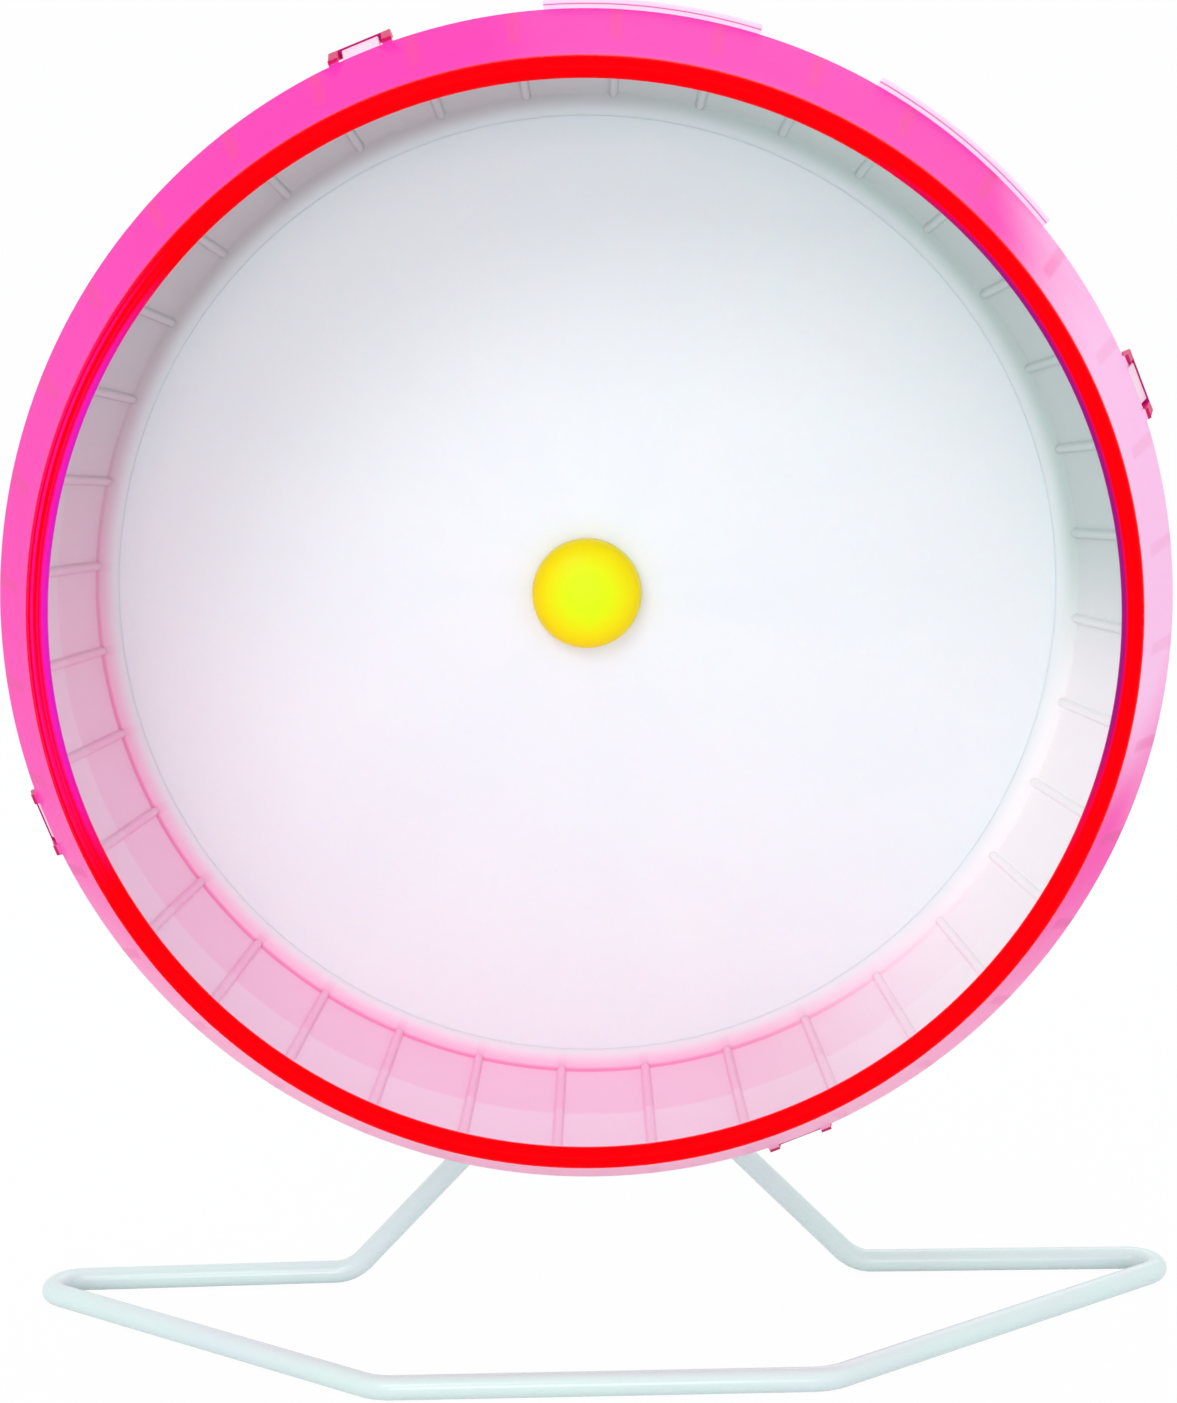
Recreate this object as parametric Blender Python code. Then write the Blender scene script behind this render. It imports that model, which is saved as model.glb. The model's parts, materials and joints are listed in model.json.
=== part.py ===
"""Pet exercise wheel: a clipped two-shell drum with a back panel, turning on a bolt in a bent wire stand.

Metres, +Z up. The mouth of the drum faces -Y. The origin is under the middle of the object, on the surface
that it stands on. Depths along Y are measured backwards from the front of the drum's lip.
"""

import math

import bmesh
import bpy
from mathutils import Matrix, Vector

MM = 0.001

# Clearances
SEAT_GAP = 0.3 * MM  # between pieces that rest on each other
BORE_GAP = 0.3 * MM  # between a bore and what goes through it, on the radius

# Drum: two cones that meet at the widest circle
SEAM_RADIUS = 140 * MM
SEAM_DEPTH = 43.5 * MM
LIP_OUTER_RADIUS = 125.4 * MM
LIP_BEAD = 5.0 * MM  # diameter of the rounded lip
WALL = 2.1 * MM  # measured along the radius
BACK_INNER_RADIUS = 124.5 * MM  # where the running surface meets the back
BACK_DEPTH = 85 * MM  # front face of the back wall

# Ribs across the running surface
RIB_COUNT = 36
RIB_WIDTH = 2.0 * MM
RIB_FLANK = 0.35 * MM
RIB_HEIGHT = 1.2 * MM
RIB_PHASE = math.radians(25.6)
RIB_RUNOUT = 1.6 * MM  # length of the slope at a rib's end
FRONT_RIB_START = 14.5 * MM  # depth where the ribs of the front shell begin

# Latch loops of the front shell, and the teeth that they catch
LATCH_COUNT = 4
LATCH_WIDTH = 16 * MM
LATCH_LEG = 2.5 * MM
LATCH_BAR = 1.9 * MM  # along the depth
LATCH_THICKNESS = 2.2 * MM  # of the bar
LATCH_NECK = 0.9 * MM  # thickness of a leg at the seam
LATCH_REACH = 16 * MM  # past the seam
LATCH_ROOT = 4 * MM  # in front of the seam
LATCH_RISE = 4.4 * MM  # of the bar's outside above the seam circle
LATCH_CORNER = 1.6 * MM
LATCH_LIFT = 0.2 * MM  # between a leg's neck and the seam circle
LATCH_SIDE_GAP = 0.8 * MM
TOOTH_RISE = 3.9 * MM
TOOTH_FLANK = 0.4 * MM
TOOTH_START = 2.2 * MM  # behind the seam

# Lugs outside the back shell, spread about the middle between the first two latches
LUG_COUNT = 2
LUG_ARC = math.radians(20.9)
LUG_SPREAD = math.radians(16.6)  # from the middle between two latches to a lug's middle
LUG_START = 2.0 * MM  # behind the seam
LUG_LENGTH = 6.0 * MM
LUG_FLANK = 0.5 * MM
LUG_RISE = 3.2 * MM

# Back flange of the back shell, with the recess that seats the panel
PANEL_BORDER = 5.8 * MM  # flange that shows round the panel, inside the drum
PANEL_THICKNESS = 2.0 * MM
FLANGE_THICKNESS = 2.0 * MM
FLANGE_LAND = 5.5 * MM  # how far the flange reaches in behind the panel
FLANGE_FILLET = 3.0 * MM

# Back panel: stiffening ribs, snap hooks, hub boss and the spigot of the hub cap
PANEL_RIB_COUNT = 12
PANEL_RIB_WIDTH = 2.0 * MM
PANEL_RIB_FLANK = 0.4 * MM
PANEL_RIB_HEIGHT = 1.8 * MM
PANEL_RIB_RUNOUT = 1.5 * MM
PANEL_RIB_SETBACK = 3.5 * MM  # from the rib's outer end to the hooks
HOOK_COUNT = 8
HOOK_WIDTH = 8 * MM
HOOK_THICKNESS = 1.8 * MM
HOOK_BARB = 1.4 * MM
HOOK_TIP = 1.9 * MM
HUB_BOSS_RADIUS = 9 * MM
HUB_BOSS_FOOT = 14 * MM  # radius where the rear boss meets the panel
HUB_BOSS_FRONT = 0.5 * MM  # proud of the panel's front
HUB_BOSS_REAR = 2.5 * MM  # proud of the panel's back
SPIGOT_WALL = 1.5 * MM
SPIGOT_HEIGHT = 3.0 * MM

# Hub cap
CAP_RADIUS = 13.8 * MM
CAP_HEIGHT = 9.8 * MM
CAP_WALL = 1.3 * MM
CAP_SWELL = 2.2  # exponent of the dome's outline; 2 would be an ellipse
CAP_STEPS = 6

# Axle: an M6 hexagon bolt with flanged bushes, washers, a sleeve in the stand and a nut
BOLT_RADIUS = 3.0 * MM
HEX_ACROSS = 10 * MM
HEAD_HEIGHT = 3.5 * MM
HEX_CHAMFER = 0.5 * MM
BOLT_CHAMFER = 0.6 * MM
BOLT_PROUD = 2.0 * MM  # past the nut
BUSH_WALL = 1.7 * MM
BUSH_FLANGE_RADIUS = 7 * MM
BUSH_FLANGE = 1.0 * MM
BUSH_LEAD_IN = 0.4 * MM
WASHER_RADIUS = 6 * MM
WASHER_THICKNESS = 1.0 * MM
SLEEVE_RADIUS = 6 * MM
SLEEVE_LENGTH = 12 * MM
SLEEVE_CHAMFER = 0.5 * MM
LOCK_WASHER_RADIUS = 5.6 * MM
LOCK_WASHER_THICKNESS = 1.5 * MM
LOCK_WASHER_SLIT = 1.0 * MM
NUT_THICKNESS = 5.0 * MM

# Stand: one closed loop of coated steel wire
WIRE_DIAMETER = 5.8 * MM
WIRE_SIDES = 12
AXLE_HEIGHT = 182.7 * MM
FRONT_BAR_DEPTH = 9.5 * MM
FRONT_BAR_HALF = 53.5 * MM
FRONT_BEND = 12 * MM
CORNER_HALF = 156.5 * MM
CORNER_DEPTH = 91 * MM
CORNER_BEND = 7 * MM
INNER_BEND_HALF = 66.4 * MM
INNER_BEND_DEPTH = 93.6 * MM
INNER_BEND = 11 * MM
LEG_SLOPE = math.radians(45)
STEM_BEND = 15 * MM
ARC_STEP = math.radians(15)

# Round pieces
HUB_SIDES = 24
DRUM_SIDES_PER_RIB = 2
PANEL_SIDES_PER_RIB = 3
LIP_ARC = math.radians(225)  # how far the lip's bead curls in from the outer skin
LIP_STEPS = 5

# Places along the depth that follow from the sizes
PANEL_REAR = BACK_DEPTH + PANEL_THICKNESS
FLANGE_FRONT = PANEL_REAR + SEAT_GAP
FLANGE_REAR = FLANGE_FRONT + FLANGE_THICKNESS
BOSS_FRONT = BACK_DEPTH - HUB_BOSS_FRONT
BOSS_REAR = PANEL_REAR + HUB_BOSS_REAR
FRONT_FLANGE_BACK = BOSS_FRONT - SEAT_GAP
FRONT_FLANGE_FACE = FRONT_FLANGE_BACK - BUSH_FLANGE
FRONT_WASHER_BACK = FRONT_FLANGE_FACE - SEAT_GAP
FRONT_WASHER_FACE = FRONT_WASHER_BACK - WASHER_THICKNESS
HEAD_BACK = FRONT_WASHER_FACE - SEAT_GAP
HEAD_FACE = HEAD_BACK - HEAD_HEIGHT
REAR_FLANGE_FACE = BOSS_REAR + SEAT_GAP
REAR_FLANGE_BACK = REAR_FLANGE_FACE + BUSH_FLANGE
REAR_WASHER_FACE = REAR_FLANGE_BACK + SEAT_GAP
REAR_WASHER_BACK = REAR_WASHER_FACE + WASHER_THICKNESS
SLEEVE_FACE = REAR_WASHER_BACK + SEAT_GAP
SLEEVE_BACK = SLEEVE_FACE + SLEEVE_LENGTH
LOCK_WASHER_FACE = SLEEVE_BACK + SEAT_GAP
LOCK_WASHER_BACK = LOCK_WASHER_FACE + LOCK_WASHER_THICKNESS
NUT_FACE = LOCK_WASHER_BACK + SEAT_GAP
NUT_BACK = NUT_FACE + NUT_THICKNESS
BOLT_END = NUT_BACK + BOLT_PROUD
STEM_DEPTH = (SLEEVE_FACE + SLEEVE_BACK) / 2

# Radii that follow from the sizes
BORE_RADIUS = BOLT_RADIUS + BORE_GAP
BUSH_RADIUS = BORE_RADIUS + BUSH_WALL
HUB_BORE_RADIUS = BUSH_RADIUS + BORE_GAP
SPIGOT_RADIUS = CAP_RADIUS - CAP_WALL - BORE_GAP
PANEL_RADIUS = BACK_INNER_RADIUS - PANEL_BORDER
RECESS_RADIUS = PANEL_RADIUS + BORE_GAP
FLANGE_INNER_RADIUS = RECESS_RADIUS - FLANGE_LAND
HOOK_OUTER_RADIUS = FLANGE_INNER_RADIUS - BORE_GAP
WIRE_RADIUS = WIRE_DIAMETER / 2
STEM_HALF = SLEEVE_RADIUS + BORE_GAP + WIRE_RADIUS

Y_FRONT = -BOLT_END / 2  # the object's depth is shared evenly about the origin
LATCH_ARC = 2 * math.pi / LATCH_COUNT
RIB_ARC = 2 * math.pi / RIB_COUNT
LATCH_PHASE = RIB_PHASE - RIB_ARC / 2  # a latch is midway between two ribs


def hex_colour(code):
    """Linear colour of an sRGB hex code, with full alpha."""
    channels = [int(code[i : i + 2], 16) / 255 for i in (0, 2, 4)]
    return tuple(c / 12.92 if c <= 0.04045 else ((c + 0.055) / 1.055) ** 2.4 for c in channels) + (1.0,)


def add_material(name, code, roughness, metallic=0.0):
    """A Principled material of one colour."""
    material = bpy.data.materials.new(name)
    material.use_nodes = True
    shader = material.node_tree.nodes["Principled BSDF"]
    shader.inputs["Base Color"].default_value = hex_colour(code)
    shader.inputs["Roughness"].default_value = roughness
    shader.inputs["Metallic"].default_value = metallic
    material.diffuse_color = hex_colour(code)
    return material


def add_piece(name, shape, material, parent, smooth_angle=math.radians(35)):
    """Makes an object of a finished bmesh, with its faces pointing out."""
    bmesh.ops.recalc_face_normals(shape, faces=shape.faces)
    mesh = bpy.data.meshes.new(name)
    shape.to_mesh(mesh)
    shape.free()
    mesh.shade_smooth()
    mesh.set_sharp_from_angle(angle=smooth_angle)
    mesh.materials.append(material)
    piece = bpy.data.objects.new(name, mesh)
    piece.parent = parent
    bpy.context.scene.collection.objects.link(piece)
    return piece


def join_solid(piece, tool, operation):
    """Joins or cuts with another solid, which stays in the scene as a guide."""
    tool.hide_render = True
    tool.display_type = "WIRE"
    boolean = piece.modifiers.new(operation.lower(), "BOOLEAN")
    boolean.operation = operation
    boolean.solver = "EXACT"
    boolean.object = tool


def even_angles(count):
    """Angles spread evenly round the axis."""
    return [2 * math.pi * i / count for i in range(count)]


def on_axis(radius, depth, angle):
    """A point at a radius, a depth behind the lip and an angle, seen from the front, round the axle."""
    return Vector((radius * math.cos(angle), Y_FRONT + depth, radius * math.sin(angle)))


def turn(angles, outline, closed=True):
    """A solid round the axle. outline(angle) lists (radius, depth) points in the same order at each angle.

    With closed False it stops at the first and last angles, where it gets flat ends.
    """
    shape = bmesh.new()
    poles = {}
    rings = []
    for angle in angles:
        ring = []
        for row, (radius, depth) in enumerate(outline(angle)):
            if radius > 0:
                ring.append(shape.verts.new(on_axis(radius, depth, angle)))
                continue
            if row not in poles:
                poles[row] = shape.verts.new(on_axis(0, depth, angle))
            ring.append(poles[row])
        rings.append(ring)
    pairs = list(zip(rings, rings[1:]))
    if closed:
        pairs.append((rings[-1], rings[0]))
    else:
        shape.faces.new(rings[0])
        shape.faces.new(rings[-1])
    for near, far in pairs:
        for a, b, c, d in zip(near, near[1:] + near[:1], far[1:] + far[:1], far):
            corners = list(dict.fromkeys((a, b, c, d)))
            if len(corners) > 2:
                shape.faces.new(corners)
    return shape


def from_nearest(angle, phase, pitch):
    """Signed angle to the nearest of the places that a pitch sets out from a phase."""
    return (angle - phase + pitch / 2) % pitch - pitch / 2


def plateau_share(distance, half_width, flank):
    """1 over the half width, falling to 0 across the flank."""
    return min(max((half_width + flank - abs(distance)) / flank, 0), 1)


def rib_share(angle):
    """How much of a running-surface rib stands at an angle."""
    offset = from_nearest(angle, RIB_PHASE, RIB_ARC) * SEAM_RADIUS
    return plateau_share(offset, RIB_WIDTH / 2, RIB_FLANK)


def rib_breaks(count, phase, width, flank, radius, sides):
    """Angles where evenly spaced ribs start, rise, fall and end, with plain steps between them."""
    pitch = 2 * math.pi / count
    half, foot = width / 2 / radius, (width / 2 + flank) / radius
    angles = []
    for i in range(count):
        middle = phase + i * pitch
        angles += [middle - foot, middle - half, middle + half, middle + foot]
        span = pitch - 2 * foot
        angles += [middle + foot + span * k / sides for k in range(1, sides)]
    return angles


def lug_middles():
    """Middle angles of the lugs."""
    between = LATCH_PHASE + LATCH_ARC / 2
    return [between + (2 * i - (LUG_COUNT - 1)) * LUG_SPREAD for i in range(LUG_COUNT)]


def lug_share(angle):
    """How much of a lug stands at an angle."""
    offsets = [from_nearest(angle, middle, 2 * math.pi) for middle in lug_middles()]
    nearest = min(offsets, key=abs) * SEAM_RADIUS
    return plateau_share(nearest, LUG_ARC * SEAM_RADIUS / 2 - LUG_FLANK, LUG_FLANK)


def tooth_half():
    """Half the width of a tooth's top, inside its latch loop."""
    return LATCH_WIDTH / 2 - LATCH_LEG - LATCH_SIDE_GAP - TOOTH_FLANK


def tooth_share(angle):
    """How much of a latch tooth stands at an angle."""
    offset = from_nearest(angle, LATCH_PHASE, LATCH_ARC) * SEAM_RADIUS
    return plateau_share(offset, tooth_half(), TOOTH_FLANK)


def front_outer(depth):
    """Outer radius of the front cone at a depth."""
    start = LIP_BEAD / 2
    share = (depth - start) / (SEAM_DEPTH - start)
    return LIP_OUTER_RADIUS + (SEAM_RADIUS - LIP_OUTER_RADIUS) * share


def back_inner(depth):
    """Inner radius of the back cone at a depth."""
    share = (depth - SEAM_DEPTH) / (BACK_DEPTH - SEAM_DEPTH)
    return SEAM_RADIUS - WALL + (BACK_INNER_RADIUS - SEAM_RADIUS + WALL) * share


def front_shell_outline(angle):
    """Section of the front shell, from the seam over the lip and back inside."""
    rise = RIB_HEIGHT * rib_share(angle)
    bead = LIP_BEAD / 2
    points = [(front_outer(SEAM_DEPTH), SEAM_DEPTH)]
    for i in range(LIP_STEPS + 1):
        swing = LIP_ARC * i / LIP_STEPS
        points.append((LIP_OUTER_RADIUS - bead + bead * math.cos(swing), bead - bead * math.sin(swing)))
    foot = FRONT_RIB_START
    crest = foot + RIB_RUNOUT
    end = SEAM_DEPTH - RIB_RUNOUT
    points.append((front_outer(foot) - WALL, foot))
    points.append((front_outer(crest) - WALL - rise, crest))
    points.append((front_outer(end) - WALL - rise, end))
    points.append((front_outer(SEAM_DEPTH) - WALL, SEAM_DEPTH))
    return points


def back_shell_outline(angle):
    """Section of the back shell, from the seam along the outside, round the flange and back inside."""
    rise = RIB_HEIGHT * rib_share(angle)
    lug = lug_share(angle)
    tooth = tooth_share(angle)
    front = SEAM_DEPTH + SEAT_GAP
    tooth_end = SEAM_DEPTH + LATCH_REACH - LATCH_BAR - SEAT_GAP
    rows = (
        (LUG_START, TOOTH_START, 0, 0),
        (LUG_START + LUG_FLANK, TOOTH_START + TOOTH_FLANK, 1, 0),
        (LUG_START + LUG_LENGTH - LUG_FLANK, tooth_end - TOOTH_FLANK - SEAM_DEPTH, 1, 1),
        (LUG_START + LUG_LENGTH, tooth_end - SEAM_DEPTH, 0, 0),
    )
    points = [(back_inner(front) + WALL, front)]
    for lug_place, tooth_place, lug_up, tooth_up in rows:
        depth = SEAM_DEPTH + lug_place + (tooth_place - lug_place) * tooth
        skin = back_inner(depth) + WALL
        top = skin
        top += (SEAM_RADIUS + LUG_RISE - SEAT_GAP * 2 - skin) * lug * lug_up
        top += (SEAM_RADIUS + TOOTH_RISE - skin) * tooth * tooth_up
        points.append((top, depth))
    corner = FLANGE_REAR - FLANGE_FILLET
    points.append((back_inner(corner) + WALL, corner))
    points.append((back_inner(corner) + WALL - FLANGE_FILLET, FLANGE_REAR))
    points.append((FLANGE_INNER_RADIUS, FLANGE_REAR))
    points.append((FLANGE_INNER_RADIUS, FLANGE_FRONT))
    points.append((RECESS_RADIUS, FLANGE_FRONT))
    points.append((RECESS_RADIUS, BACK_DEPTH))
    points.append((BACK_INNER_RADIUS - rise, BACK_DEPTH))
    crest = front + RIB_RUNOUT
    points.append((back_inner(crest) - rise, crest))
    points.append((back_inner(front), front))
    return points


def panel_rib_share(angle):
    """How much of a panel rib stands at an angle."""
    offset = from_nearest(angle, 0, 2 * math.pi / PANEL_RIB_COUNT) * PANEL_RADIUS / 2
    return plateau_share(offset, PANEL_RIB_WIDTH / 2, PANEL_RIB_FLANK)


def back_panel_outline(angle):
    """Section of the back panel: hub boss, spigot, disc and rear ribs."""
    rise = PANEL_RIB_HEIGHT * panel_rib_share(angle)
    rib_end = HOOK_OUTER_RADIUS - HOOK_THICKNESS - PANEL_RIB_SETBACK
    rib_start = HUB_BOSS_FOOT + PANEL_RIB_RUNOUT
    return [
        (HUB_BORE_RADIUS, BOSS_REAR),
        (HUB_BORE_RADIUS, BOSS_FRONT),
        (HUB_BOSS_RADIUS, BOSS_FRONT),
        (HUB_BOSS_RADIUS + HUB_BOSS_FRONT, BACK_DEPTH),
        (SPIGOT_RADIUS - SPIGOT_WALL, BACK_DEPTH),
        (SPIGOT_RADIUS - SPIGOT_WALL, BACK_DEPTH - SPIGOT_HEIGHT),
        (SPIGOT_RADIUS, BACK_DEPTH - SPIGOT_HEIGHT),
        (SPIGOT_RADIUS, BACK_DEPTH),
        (PANEL_RADIUS, BACK_DEPTH),
        (PANEL_RADIUS, PANEL_REAR),
        (rib_end, PANEL_REAR),
        (rib_end - PANEL_RIB_RUNOUT, PANEL_REAR + rise),
        (rib_start, PANEL_REAR + rise),
        (HUB_BOSS_FOOT, PANEL_REAR),
        (HUB_BOSS_RADIUS, BOSS_REAR),
    ]


def cap_outline(_angle):
    """Section of the hub cap: a dome on a short skirt, open at the back."""
    rear = BACK_DEPTH - SEAT_GAP
    brow = rear - SPIGOT_HEIGHT - SEAT_GAP  # where the skirt ends and the dome begins
    dome = CAP_HEIGHT - (rear - brow)
    outer, inner = [], []
    for i in range(CAP_STEPS + 1):
        swing = math.pi / 2 * i / CAP_STEPS
        across = math.sin(swing) ** (2 / CAP_SWELL) if i else 0
        along = math.cos(swing) ** (2 / CAP_SWELL) if i < CAP_STEPS else 0
        outer.append((CAP_RADIUS * across, brow - dome * along))
        inner.append(((CAP_RADIUS - CAP_WALL) * across, brow - (dome - CAP_WALL) * along))
    return outer + [(CAP_RADIUS, rear), (CAP_RADIUS - CAP_WALL, rear)] + inner[::-1]


def hex_radius(angle):
    """Distance from the axis to the side of a hexagon at an angle."""
    return HEX_ACROSS / 2 / math.cos(from_nearest(angle, math.pi / 6, math.pi / 3))


def bolt_outline(angle):
    """Section of the bolt, head first."""
    return [
        (0, HEAD_FACE),
        (HEX_ACROSS / 2 - HEX_CHAMFER, HEAD_FACE),
        (hex_radius(angle), HEAD_FACE + HEX_CHAMFER),
        (hex_radius(angle), HEAD_BACK),
        (BOLT_RADIUS, HEAD_BACK),
        (BOLT_RADIUS, BOLT_END - BOLT_CHAMFER),
        (BOLT_RADIUS - BOLT_CHAMFER, BOLT_END),
        (0, BOLT_END),
    ]


def nut_outline(angle):
    """Section of the nut, with its outer corners turned off on both faces."""
    return [
        (BORE_RADIUS, NUT_FACE),
        (HEX_ACROSS / 2, NUT_FACE),
        (hex_radius(angle), NUT_FACE + HEX_CHAMFER),
        (hex_radius(angle), NUT_BACK - HEX_CHAMFER),
        (HEX_ACROSS / 2, NUT_BACK),
        (BORE_RADIUS, NUT_BACK),
    ]


def ring_outline(inner, outer, face, back, chamfer=0.0):
    """Section of a plain ring."""

    def outline(_angle):
        if not chamfer:
            return [(inner, face), (outer, face), (outer, back), (inner, back)]
        return [
            (inner, face),
            (outer - chamfer, face),
            (outer, face + chamfer),
            (outer, back - chamfer),
            (outer - chamfer, back),
            (inner, back),
        ]

    return outline


def bush_outline(flange_face, flange_back, nose):
    """Section of a flanged bush. The flange lies between its two depths and the barrel ends at the nose."""
    lead = math.copysign(BUSH_LEAD_IN, nose - flange_back)

    def outline(_angle):
        return [
            (BORE_RADIUS, flange_face),
            (BUSH_FLANGE_RADIUS, flange_face),
            (BUSH_FLANGE_RADIUS, flange_back),
            (BUSH_RADIUS, flange_back),
            (BUSH_RADIUS, nose - lead),
            (BUSH_RADIUS - BUSH_LEAD_IN, nose),
            (BORE_RADIUS, nose),
        ]

    return outline


def add_strap(shape, middle, breaks, rows, solid):
    """A curved plate with openings, round the axle.

    breaks are the arc lengths across it, rows are (depth, inner radius, outer radius), and solid(row, column)
    says which of the cells between them are filled.
    """
    columns = range(len(breaks) - 1)
    cells = {(r, c) for r in range(len(rows) - 1) for c in columns if solid(r, c)}
    verts = {}

    def corner(row, column, side):
        key = (row, column, side)
        if key not in verts:
            depth, radius = rows[row][0], rows[row][1 + side]
            verts[key] = shape.verts.new(on_axis(radius, depth, middle + breaks[column] / SEAM_RADIUS))
        return verts[key]

    for row, column in sorted(cells):
        around = ((row, column), (row, column + 1), (row + 1, column + 1), (row + 1, column))
        for side in (0, 1):
            shape.faces.new([corner(r, c, side) for r, c in around])
        neighbours = ((row - 1, column), (row, column + 1), (row + 1, column), (row, column - 1))
        for neighbour, start, end in zip(neighbours, around, around[1:] + around[:1]):
            if neighbour not in cells:
                ends = (corner(*start, 0), corner(*end, 0), corner(*end, 1), corner(*start, 1))
                shape.faces.new(ends)


def latch_loops():
    """The four latch loops: a root on the front shell, two legs and a bar across their ends."""
    shape = bmesh.new()
    half = LATCH_WIDTH / 2
    neck = SEAM_RADIUS + LATCH_LIFT
    outer = SEAM_RADIUS + LATCH_RISE
    inner = outer - LATCH_THICKNESS
    end = SEAM_DEPTH + LATCH_REACH
    root = SEAM_DEPTH - LATCH_ROOT
    sunk = WALL / 2
    rows = (
        (root, front_outer(root) - sunk, front_outer(root) - sunk / 2),
        (SEAM_DEPTH, front_outer(SEAM_DEPTH) - sunk, neck + LATCH_NECK),
        (SEAM_DEPTH + SEAT_GAP, neck, neck + LATCH_NECK),
        (end - LATCH_BAR, inner, outer),
        (end - LATCH_BAR / 2, inner, outer),
        (end, inner, outer),
    )
    leg = half - LATCH_LEG
    breaks = (-half, -half + LATCH_CORNER, -leg, 0, leg, half - LATCH_CORNER, half)
    last_row = len(rows) - 2
    last_column = len(breaks) - 2

    def solid(row, column):
        if row == last_row and column in (0, last_column):
            return False
        return row >= last_row - 1 or column in (0, 1, last_column - 1, last_column)

    for i in range(LATCH_COUNT):
        add_strap(shape, LATCH_PHASE + i * LATCH_ARC, breaks, rows, solid)
    return shape


def panel_hooks():
    """Snap hooks on the back of the panel. They grip the inner edge of the flange from behind."""
    shape = bmesh.new()
    outer = HOOK_OUTER_RADIUS
    inner = outer - HOOK_THICKNESS
    grip = FLANGE_REAR + SEAT_GAP
    tip = grip + HOOK_TIP
    sunk = PANEL_THICKNESS / 2
    section = (
        (inner, PANEL_REAR - sunk),
        (outer, PANEL_REAR - sunk),
        (outer, grip),
        (outer + HOOK_BARB, grip),
        (outer, tip),
        (inner, tip),
    )
    spread = HOOK_WIDTH / 2 / outer
    for i in range(HOOK_COUNT):
        middle = 2 * math.pi * (i + 0.5) / HOOK_COUNT
        rings = []
        for angle in (middle - spread, middle + spread):
            rings.append([shape.verts.new(on_axis(radius, depth, angle)) for radius, depth in section])
        shape.faces.new(rings[0])
        shape.faces.new(rings[1])
        for a, b, c, d in zip(rings[0], rings[0][1:] + rings[0][:1], rings[1][1:] + rings[1][:1], rings[1]):
            shape.faces.new((a, b, c, d))
    return shape


def round_corner(before, corner, after, radius):
    """Points of the arc that rounds a corner of a path."""
    back = (before - corner).normalized()
    ahead = (after - corner).normalized()
    half = back.angle(ahead) / 2
    centre = corner + (back + ahead).normalized() * (radius / math.sin(half))
    start = corner + back * (radius / math.tan(half)) - centre
    end = corner + ahead * (radius / math.tan(half)) - centre
    turned = math.pi - 2 * half
    steps = max(2, math.ceil(turned / ARC_STEP))
    axis = start.cross(end).normalized()
    return [centre + Matrix.Rotation(turned * i / steps, 3, axis) @ start for i in range(steps + 1)]


def wire_path():
    """Centre line of the right half of the stand's wire, from the front bar to the top of the hairpin."""
    floor = WIRE_RADIUS * math.cos(math.pi / WIRE_SIDES)  # the lowest facet lies flat on the ground
    leg_run = (INNER_BEND_HALF - STEM_HALF) * math.tan(LEG_SLOPE)
    corners = [
        (0, FRONT_BAR_DEPTH, floor, 0),
        (FRONT_BAR_HALF, FRONT_BAR_DEPTH, floor, FRONT_BEND),
        (CORNER_HALF, CORNER_DEPTH, floor, CORNER_BEND),
        (INNER_BEND_HALF, INNER_BEND_DEPTH, floor, INNER_BEND),
        (STEM_HALF, STEM_DEPTH, floor + leg_run, STEM_BEND),
        (STEM_HALF, STEM_DEPTH, AXLE_HEIGHT, 0),
    ]
    places = [Vector((x, Y_FRONT + depth, z)) for x, depth, z, _ in corners]
    path = [places[0]]
    for before, corner, after, (_x, _depth, _z, radius) in zip(places, places[1:], places[2:], corners[1:]):
        path += round_corner(before, corner, after, radius)
    steps = math.ceil(math.pi / 2 / ARC_STEP)
    centre = Vector((0, Y_FRONT + STEM_DEPTH, AXLE_HEIGHT))
    for i in range(steps + 1):
        swing = math.pi / 2 * i / steps
        path.append(centre + STEM_HALF * Vector((math.cos(swing), 0, math.sin(swing))))
    return path


def wire_loop():
    """The stand's wire: the half path swept with a ring of facets that never twists, and its mirror image."""
    path = wire_path()
    shape = bmesh.new()
    normal = Vector((0, 0, -1))
    rings = []
    for i, point in enumerate(path):
        before = (point - path[i - 1]).normalized() if i else Vector((1, 0, 0))
        after = (path[i + 1] - point).normalized() if i + 1 < len(path) else Vector((-1, 0, 0))
        tangent = (before + after).normalized()
        bend = before.angle(after) / 2
        normal = (normal - tangent * normal.dot(tangent)).normalized()
        side = tangent.cross(normal)
        across = (after - before).normalized() if bend > 0 else side
        ring = []
        for k in range(WIRE_SIDES):
            swing = 2 * math.pi * (k + 0.5) / WIRE_SIDES
            spoke = WIRE_RADIUS * (math.cos(swing) * normal + math.sin(swing) * side)
            spoke += across * spoke.dot(across) * (1 / math.cos(bend) - 1)
            ring.append(point + spoke)
        rings.append(ring)
    mirrored = [[Vector((-p.x, p.y, p.z)) for p in ring] for ring in rings[-2:0:-1]]
    loop = [[shape.verts.new(p) for p in ring] for ring in rings + mirrored]
    for i, near in enumerate(loop):
        far = loop[(i + 1) % len(loop)]
        for a, b, c, d in zip(near, near[1:] + near[:1], far[1:] + far[:1], far):
            shape.faces.new((a, b, c, d))
    return shape


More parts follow.
